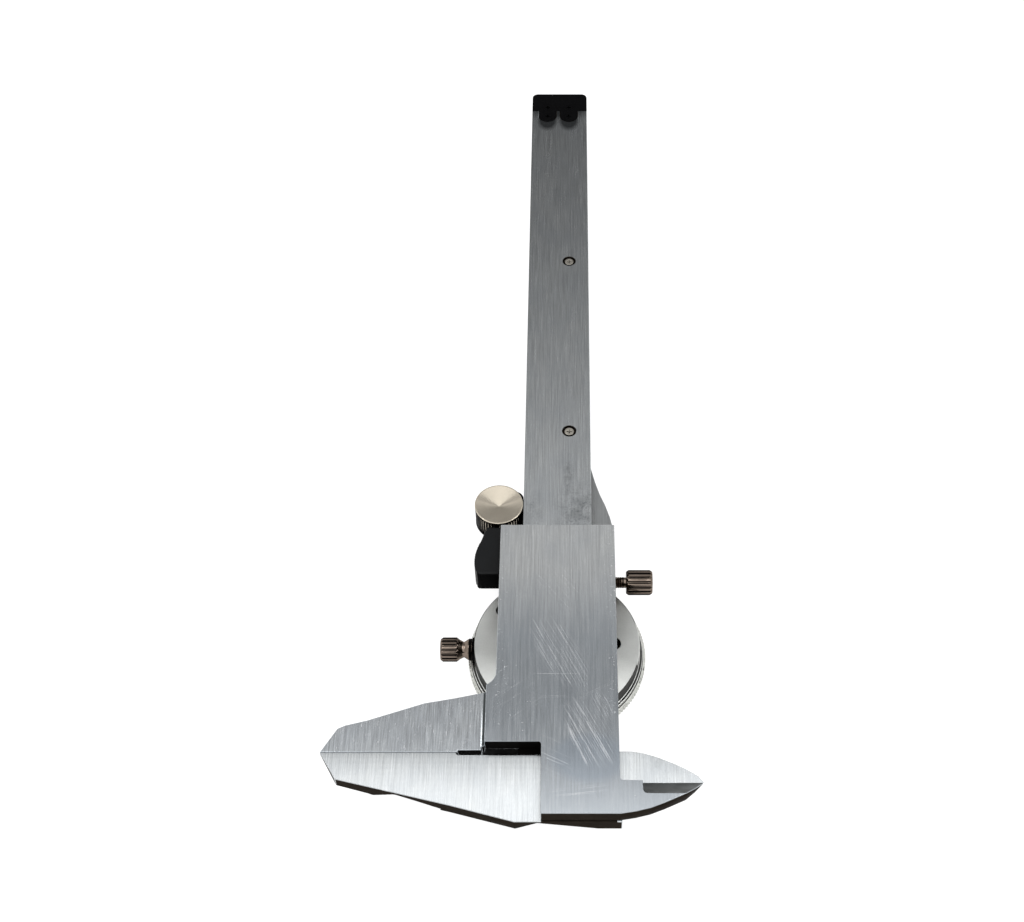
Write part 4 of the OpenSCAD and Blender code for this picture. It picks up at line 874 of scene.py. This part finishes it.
class OBJECT_OT_caliper_beam(bpy.types.Operator):
    """Beam with its fixed jaws, rack and rack screws"""

    bl_idname = "object.caliper_beam"
    bl_label = "Beam"

    def execute(self, context):
        s = sizes()
        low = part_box("beam")[0].y
        slices = 12
        finishes = ["ground_beam", "cut_steel", "step_steel", "groove"]
        side_shade, step, dark = 1, 2, 3

        def lean(bm):
            """The fixed jaws' back falls away towards their lower edge; the relief slot and the sinks'
            floors are painted dark as shade.
            """
            for i in range(slices):
                split_at(bm, (0, low * i / slices, 0), (0, 1, 0))
            for x in (RELIEF_OUT, LEG_SIDE, RELIEF_IN, NIB_START, NIB_START + NIB_RAMP):
                split_at(bm, (x, 0, 0), (1, 0, 0))
            for y in (RELIEF_LOW, NIB_TOP):
                split_at(bm, (0, y, 0), (0, 1, 0))
            for vert in bm.verts:
                if vert.co.z < -0.01 * MM:
                    continue
                if vert.co.x > NIB_START + 0.7 * MM and vert.co.y < NIB_TOP:
                    vert.co.z -= NIB_TILT * (NIB_TOP - vert.co.y)
                elif vert.co.y < 0:
                    vert.co.z -= s.jaw_fall * (vert.co.y / low) ** 1.5
            bm.normal_update()
            for face in bm.faces:
                centre = face.calc_center_median()
                # Painted shade: the relief slot beside the jaws is near black
                if RELIEF_OUT < centre.x < RELIEF_IN and RELIEF_LOW < centre.y < RELIEF_HIGH:
                    face.material_index = dark
                # Painted shade: the floors of the screws' sinks take the darker side steel
                sunk = SINK_FLOOR < centre.z < SINK_TOP and centre.y > SINKS_START
                if sunk and face.normal.z > FACING_UP:
                    face.material_index = side_shade

        def sinks(bm):
            """The eased rims of the screws' sinks, and the edge under the slider's leg, take the darker side
            steel as painted shade.
            """
            for face in bm.faces:
                centre = face.calc_center_median()
                # Painted shade under the slider's leg
                if LEG_SIDE < centre.x < NIB_START and centre.y < low * (slices - 1) / slices:
                    face.material_index = side_shade
                # Painted shade on the rims of the sinks
                near = abs(centre.x) < SINKS_REACH and centre.y > SINKS_START
                if near and 0.1 < face.normal.z < 0.99:
                    face.material_index = side_shade

        eased_node(
            "beam", "beam_bar", "beam", "satin_stainless", finishes, s.plate_edge,
            step=step, shape=lean, after=sinks,
        )
        dress("ground_plain", "rack")
        recess_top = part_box("rack_screws")[1].z - 0.03 * MM

        def recess(bm):
            """The cross recess is painted black as shade."""
            for face in bm.faces:
                if face.calc_center_median().z < recess_top:
                    face.material_index = 1

        eased_node(
            "rack_screws", "rack_screw_heads", "beam", "screw_steel", ["screw_nickel", "groove"],
            s.small_edge, side_shade=False, shape=recess,
        )
        return {"FINISHED"}


class OBJECT_OT_caliper_scale(bpy.types.Operator):
    """Filled lines and figures of the inch scale on the beam's front, and the index beside the window"""

    bl_idname = "object.caliper_scale"
    bl_label = "Scale"

    LENGTHS = mm(1.05, 0.8, 0.55)

    def execute(self, context):
        s = sizes()
        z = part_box("beam")[0].z - s.ink_height / 2
        bm = bmesh.new()
        for i in range(61):
            reach = tick(i, self.LENGTHS)
            y = SCALE_ZERO + i * SCALE_STEP
            line(bm, (SCALE_EDGE - reach / 2, y, z), (reach, s.tick_width, s.ink_height))
            if i % 10 == 0:
                numeral(bm, str(i // 10), s.scale_figure, (SCALE_FIGURES, y, z))
        piece(bm, "scale_lines", "beam", ["ink"])
        front = bmesh.new()
        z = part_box("front_plate")[0].z - s.ink_height / 2
        line(front, (INDEX_MIDDLE, SCALE_ZERO, z), (INDEX_LENGTH, s.tick_width, s.ink_height))
        piece(front, "scale_index", "slider", ["ink"])
        return {"FINISHED"}


class OBJECT_OT_caliper_slider(bpy.types.Operator):
    """Slider with its moving jaws, the gib and the front plate"""

    bl_idname = "object.caliper_slider"
    bl_label = "Slider"

    def execute(self, context):
        edge = sizes().plate_edge
        finishes = ["ground_slider", "cut_steel", "step_steel", "honed_steel", "groove", "ground_jaw"]
        step, honed, dark, jaw = 2, 3, 4, 5
        slot_out, slot_low, slot_high = mm(-20, -2, 4)

        def knife(bm):
            """The knife bevel of the inside jaw is honed, and the relief slot's wall is painted dark as
            shade.
            """
            for face in bm.faces:
                centre = face.calc_center_median()
                sloping = face.normal.y > 0.3 and 0.4 < face.normal.z < 0.95
                if sloping and centre.x > BEVEL_SIDE:
                    face.material_index = honed
                if face.normal.z > FACING_UP and centre.x < JAW_SIDE:
                    face.material_index = jaw
                # Painted shade on the wall that faces the relief slot
                beside = slot_low < centre.y < slot_high and slot_out < centre.x < 0
                if beside and face.normal.y < -FACING_ASIDE:
                    face.material_index = dark

        eased_node(
            "slider", "slider_plate", "slider", "satin_stainless", finishes, edge, step=step, shape=knife
        )
        finishes = ["ground_plain", "cut_steel"]
        eased_node("front_plate", "front_cover", "slider", "satin_stainless", finishes, edge)
        dress("brass", "gib")
        dress("screw_steel", "gib_screws", "front_plate_screws")
        return {"FINISHED"}


class OBJECT_OT_caliper_case(bpy.types.Operator):
    """Dial case and knurled bezel"""

    bl_idname = "object.caliper_case"
    bl_label = "Case and bezel"

    def execute(self, context):
        s = sizes()
        finishes = ["turned_chrome", "chrome_wall", "groove"]
        wall, dark = 1, 2
        centre = middle("bezel")
        holes_reach, rim_low, rim_high = mm(17.5, -8.8, -8.3)

        def holes(bm):
            """The back holes are painted black inside as shade, and the rim behind the bezel takes the
            darker wall chrome as painted shade.
            """
            for face in bm.faces:
                at = face.calc_center_median()
                reach = math.hypot(at.x - centre.x, at.y - centre.y)
                # Painted shade inside the holes
                if abs(face.normal.z) < FACING_ASIDE and reach < holes_reach:
                    face.material_index = dark
                # Painted shade on the rim behind the bezel
                if face.normal.z > FACING_UP and rim_low < at.z < rim_high:
                    face.material_index = wall

        eased_node("dial_case", "case_shell", "slider", "satin_chrome", finishes, s.turned_edge, shape=holes)

        def teeth(bm):
            """The back has painted shade in the gap beside the case."""
            for face in bm.faces:
                face.material_index = 1 if face.normal.z > FACING_ASIDE else 0

        finishes = ["chrome_rib", "bezel_back"]
        eased_node(
            "bezel", "bezel_ring", "bezel", "satin_chrome", finishes, s.small_edge, side_shade=False, shape=teeth
        )
        dress("screw_steel", "case_screws")
        dress("blued_steel", "bezel_spring")
        dress("black_plastic", "crystal_spacer")
        dress("crystal_clear", "crystal")
        dress("black_oxide", "bezel_clamp")
        return {"FINISHED"}


class OBJECT_OT_caliper_dial(bpy.types.Operator):
    """Dial face with its print, and the needle"""

    bl_idname = "object.caliper_dial"
    bl_label = "Dial"

    LENGTHS = mm(2.9, 2.3, 1.5)
    BOLD = 1.6

    def execute(self, context):
        s = sizes()
        dress("dial_enamel", "dial_face")
        dress("ink", "needle")
        centre = middle("dial_face")
        centre.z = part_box("dial_face")[0].z - s.ink_height / 2
        bm = bmesh.new()
        for i in range(100):
            turn = i * math.tau / 100
            reach = tick(i, self.LENGTHS)
            width = s.tick_width * (self.BOLD if i % 10 == 0 else 1.0)
            along = Vector((math.cos(turn), math.sin(turn), 0))
            line(bm, centre + along * (DIAL_RIM - reach / 2), (reach, width, s.ink_height), turn)
            if i % 10 == 0:
                numeral(bm, str(i), s.dial_figure, centre + along * DIAL_FIGURES)
        piece(bm, "dial_print", "bezel", ["ink"])
        return {"FINISHED"}


class OBJECT_OT_caliper_gears(bpy.types.Operator):
    """Gear train, bush, bridge and hairspring"""

    bl_idname = "object.caliper_gears"
    bl_label = "Gears"

    BRASS = ("pinion_bush", "gear_bridge", "rack_pinion", "transfer_gear", "centre_pinion", "take_up_gear")

    def execute(self, context):
        dress("brass", *self.BRASS)
        dress("screw_steel", "bridge_screws")
        dress("blued_steel", "hairspring")
        return {"FINISHED"}


class OBJECT_OT_caliper_locks(bpy.types.Operator):
    """Lock screws of the slider and the bezel"""

    bl_idname = "object.caliper_locks"
    bl_label = "Lock screws"

    KNOBS = (("slide_lock_screw", "slide_lock_knob"), ("bezel_lock_screw", "bezel_lock_knob"))
    CREST_DEPTH = 0.07 * MM
    THREAD_START, KNOB_DEPTH = mm(13.3, 6.0)
    ROOT, CREST, INSIDE = mm(1.12, 1.33, 0.9)

    def execute(self, context):
        s = sizes()
        for node, name in self.KNOBS:
            low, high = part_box(node)
            axis, radius = (low + high) / 2, (high.z - low.z) / 2

            def grooves(bm):
                """Grooves between the ribs are painted dark as shade; the crests keep the knob's nickel."""
                for face in bm.faces:
                    out = face.calc_center_median() - axis
                    reach = math.hypot(out.y, out.z)
                    if abs(face.normal.x) > 0.4 or reach < 0.6 * radius:
                        continue
                    outward = (face.normal.y * out.y + face.normal.z * out.z) / reach
                    # Painted shade in the grooves
                    if reach < radius - self.CREST_DEPTH or outward < 0.8:
                        face.material_index = 1

            eased_node(
                node, name, node.replace("_screw", ""), "dark_nickel", ["dark_nickel", "groove"],
                s.small_edge, side_shade=False, shape=grooves, corner=RIBBED,
            )
        self.thread(s.thread_pitch)
        return {"FINISHED"}

    def thread(self, pitch):
        """Turns of thread on the slide lock's bare stem, as a sleeve of grooves round it."""
        low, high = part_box("slide_lock_screw")
        start = self.THREAD_START
        turns = int((high.x - self.KNOB_DEPTH - start) / pitch)
        bm = bmesh.new()
        profile = [(0, self.INSIDE)]
        for i in range(turns):
            profile += [(i, self.ROOT), (i + 0.5, self.CREST)]
        profile += [(turns, self.ROOT), (turns, self.INSIDE)]
        verts = [bm.verts.new((start + at * pitch, reach, 0)) for at, reach in profile]
        edges = [bm.edges.new(pair) for pair in zip(verts, verts[1:] + verts[:1])]
        bmesh.ops.spin(
            bm, geom=verts + edges, cent=(0, 0, 0), axis=(1, 0, 0), angle=math.tau, steps=48, use_merge=True
        )
        bmesh.ops.remove_doubles(bm, verts=bm.verts, dist=TOUCHING)
        bmesh.ops.recalc_face_normals(bm, faces=bm.faces)
        bmesh.ops.translate(bm, verts=bm.verts, vec=(0, (low.y + high.y) / 2, (low.z + high.z) / 2))
        for face in bm.faces:
            face.smooth = True
        for edge in bm.edges:
            edge.smooth = edge.calc_face_angle(0.0) < SHARP
        piece(bm, "slide_lock_thread", "slide_lock", ["dark_nickel"])


class OBJECT_OT_caliper_roller(bpy.types.Operator):
    """Thumb roller with its bracket, pin and screws"""

    bl_idname = "object.caliper_roller"
    bl_label = "Roller"

    RIM = 0.3 * MM

    def execute(self, context):
        s = sizes()
        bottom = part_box("thumb_roller")[1].z - s.roller_dish

        def hollow(bm):
            """The roller's face is turned slightly hollow towards its middle."""
            face = max((f for f in bm.faces if f.normal.z > 0.99), key=lambda f: f.calc_area())
            bmesh.ops.inset_individual(bm, faces=[face], thickness=self.RIM, depth=0.0)
            made = bmesh.ops.poke(bm, faces=[face], offset=0.0)
            for vert in made["verts"]:
                vert.co.z = bottom

        # The roller's walls take the darker nickel: painted shade
        eased_node(
            "thumb_roller", "roller_knob", "roller", "warm_nickel", ["turned_nickel", "nickel_wall"],
            s.turned_edge, shape=hollow, corner=RIBBED,
        )
        eased_node(
            "roller_bracket", "roller_arm", "slider", "black_metal", ["black_oxide"],
            s.turned_edge, side_shade=False,
        )
        dress("screw_steel", "roller_bracket_screws", "roller_pin")
        return {"FINISHED"}


class OBJECT_OT_caliper_rest(bpy.types.Operator):
    """Thumb rest and its screw"""

    bl_idname = "object.caliper_rest"
    bl_label = "Thumb rest"

    def execute(self, context):
        s = sizes()
        radius = s.rest_corner
        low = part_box("thumb_rest")[0]

        def corner(bm):
            """The outer corner by the slide lock is rounded, and the front is painted darker as shade."""
            side = min(v.co.x for v in bm.verts if v.co.y < low.y + 0.05 * MM)
            hub = Vector((side + radius, low.y + radius, 0))
            for share in (0.0, 0.38, 0.71, 0.92):
                split_at(bm, (hub.x - share * radius, 0, 0), (1, 0, 0))
            for vert in bm.verts:
                out = Vector((vert.co.x - hub.x, vert.co.y - hub.y))
                if out.x < 0 and out.y < 0 and out.length > radius:
                    out *= radius / out.length
                    vert.co.x, vert.co.y = hub.x + out.x, hub.y + out.y
            bm.normal_update()
            for face in bm.faces:
                # Painted shade on the front faces
                if face.normal.y < -FACING_ASIDE:
                    face.material_index = 1

        eased_node(
            "thumb_rest", "thumb_rest_pad", "slider", "black_plastic", ["black_plastic", "worn_plastic"],
            s.moulded_edge, side_shade=False, shape=corner, segments=3,
        )
        dress("screw_steel", "thumb_rest_screw")
        return {"FINISHED"}


class OBJECT_OT_caliper_ends(bpy.types.Operator):
    """End stop, rod keeper and depth rod"""

    bl_idname = "object.caliper_ends"
    bl_label = "End pieces and depth rod"

    PIECES = (
        ("end_stop", "end_stop_plate", "beam", "black_metal", ["black_oxide"]),
        ("rod_keeper", "rod_keeper_plate", "beam", "black_metal", ["black_oxide"]),
        ("depth_rod", "depth_rod_bar", "slider", "satin_stainless", ["ground_plain"]),
    )

    def execute(self, context):
        for made in self.PIECES:
            eased_node(*made, sizes().turned_edge, side_shade=False)
        dress("black_oxide", "end_stop_screws", "rod_keeper_screws")
        dress("brass", "depth_rod_block")
        dress("screw_steel", "depth_rod_rivet")
        return {"FINISHED"}


OPERATORS = (
    OBJECT_OT_caliper_stage,
    OBJECT_OT_caliper_beam,
    OBJECT_OT_caliper_scale,
    OBJECT_OT_caliper_slider,
    OBJECT_OT_caliper_case,
    OBJECT_OT_caliper_dial,
    OBJECT_OT_caliper_gears,
    OBJECT_OT_caliper_locks,
    OBJECT_OT_caliper_roller,
    OBJECT_OT_caliper_rest,
    OBJECT_OT_caliper_ends,
)


class VIEW3D_PT_caliper(bpy.types.Panel):
    """The caliper's sizes, colours and pieces"""

    bl_idname = "VIEW3D_PT_caliper"
    bl_label = "Dial caliper"
    bl_space_type = "VIEW_3D"
    bl_region_type = "UI"
    bl_category = "Caliper"

    def draw(self, context):
        settings = context.scene.caliper
        for group in (settings.sizes, settings.colours, settings.stage):
            box = self.layout.box()
            for name in group.__annotations__:
                box.prop(group, name)
        for operator in OPERATORS:
            self.layout.operator(operator.bl_idname)


CLASSES = (CaliperSizes, CaliperColours, CaliperStage, CaliperSettings, *OPERATORS, VIEW3D_PT_caliper)


def register():
    for item in CLASSES:
        bpy.utils.register_class(item)
    bpy.types.Scene.caliper = bpy.props.PointerProperty(type=CaliperSettings)


def unregister():
    del bpy.types.Scene.caliper
    for item in reversed(CLASSES):
        bpy.utils.unregister_class(item)


def main():
    register()
    for operator in OPERATORS:
        group, name = operator.bl_idname.split(".")
        getattr(getattr(bpy.ops, group), name)()


if __name__ == "__main__":
    main()
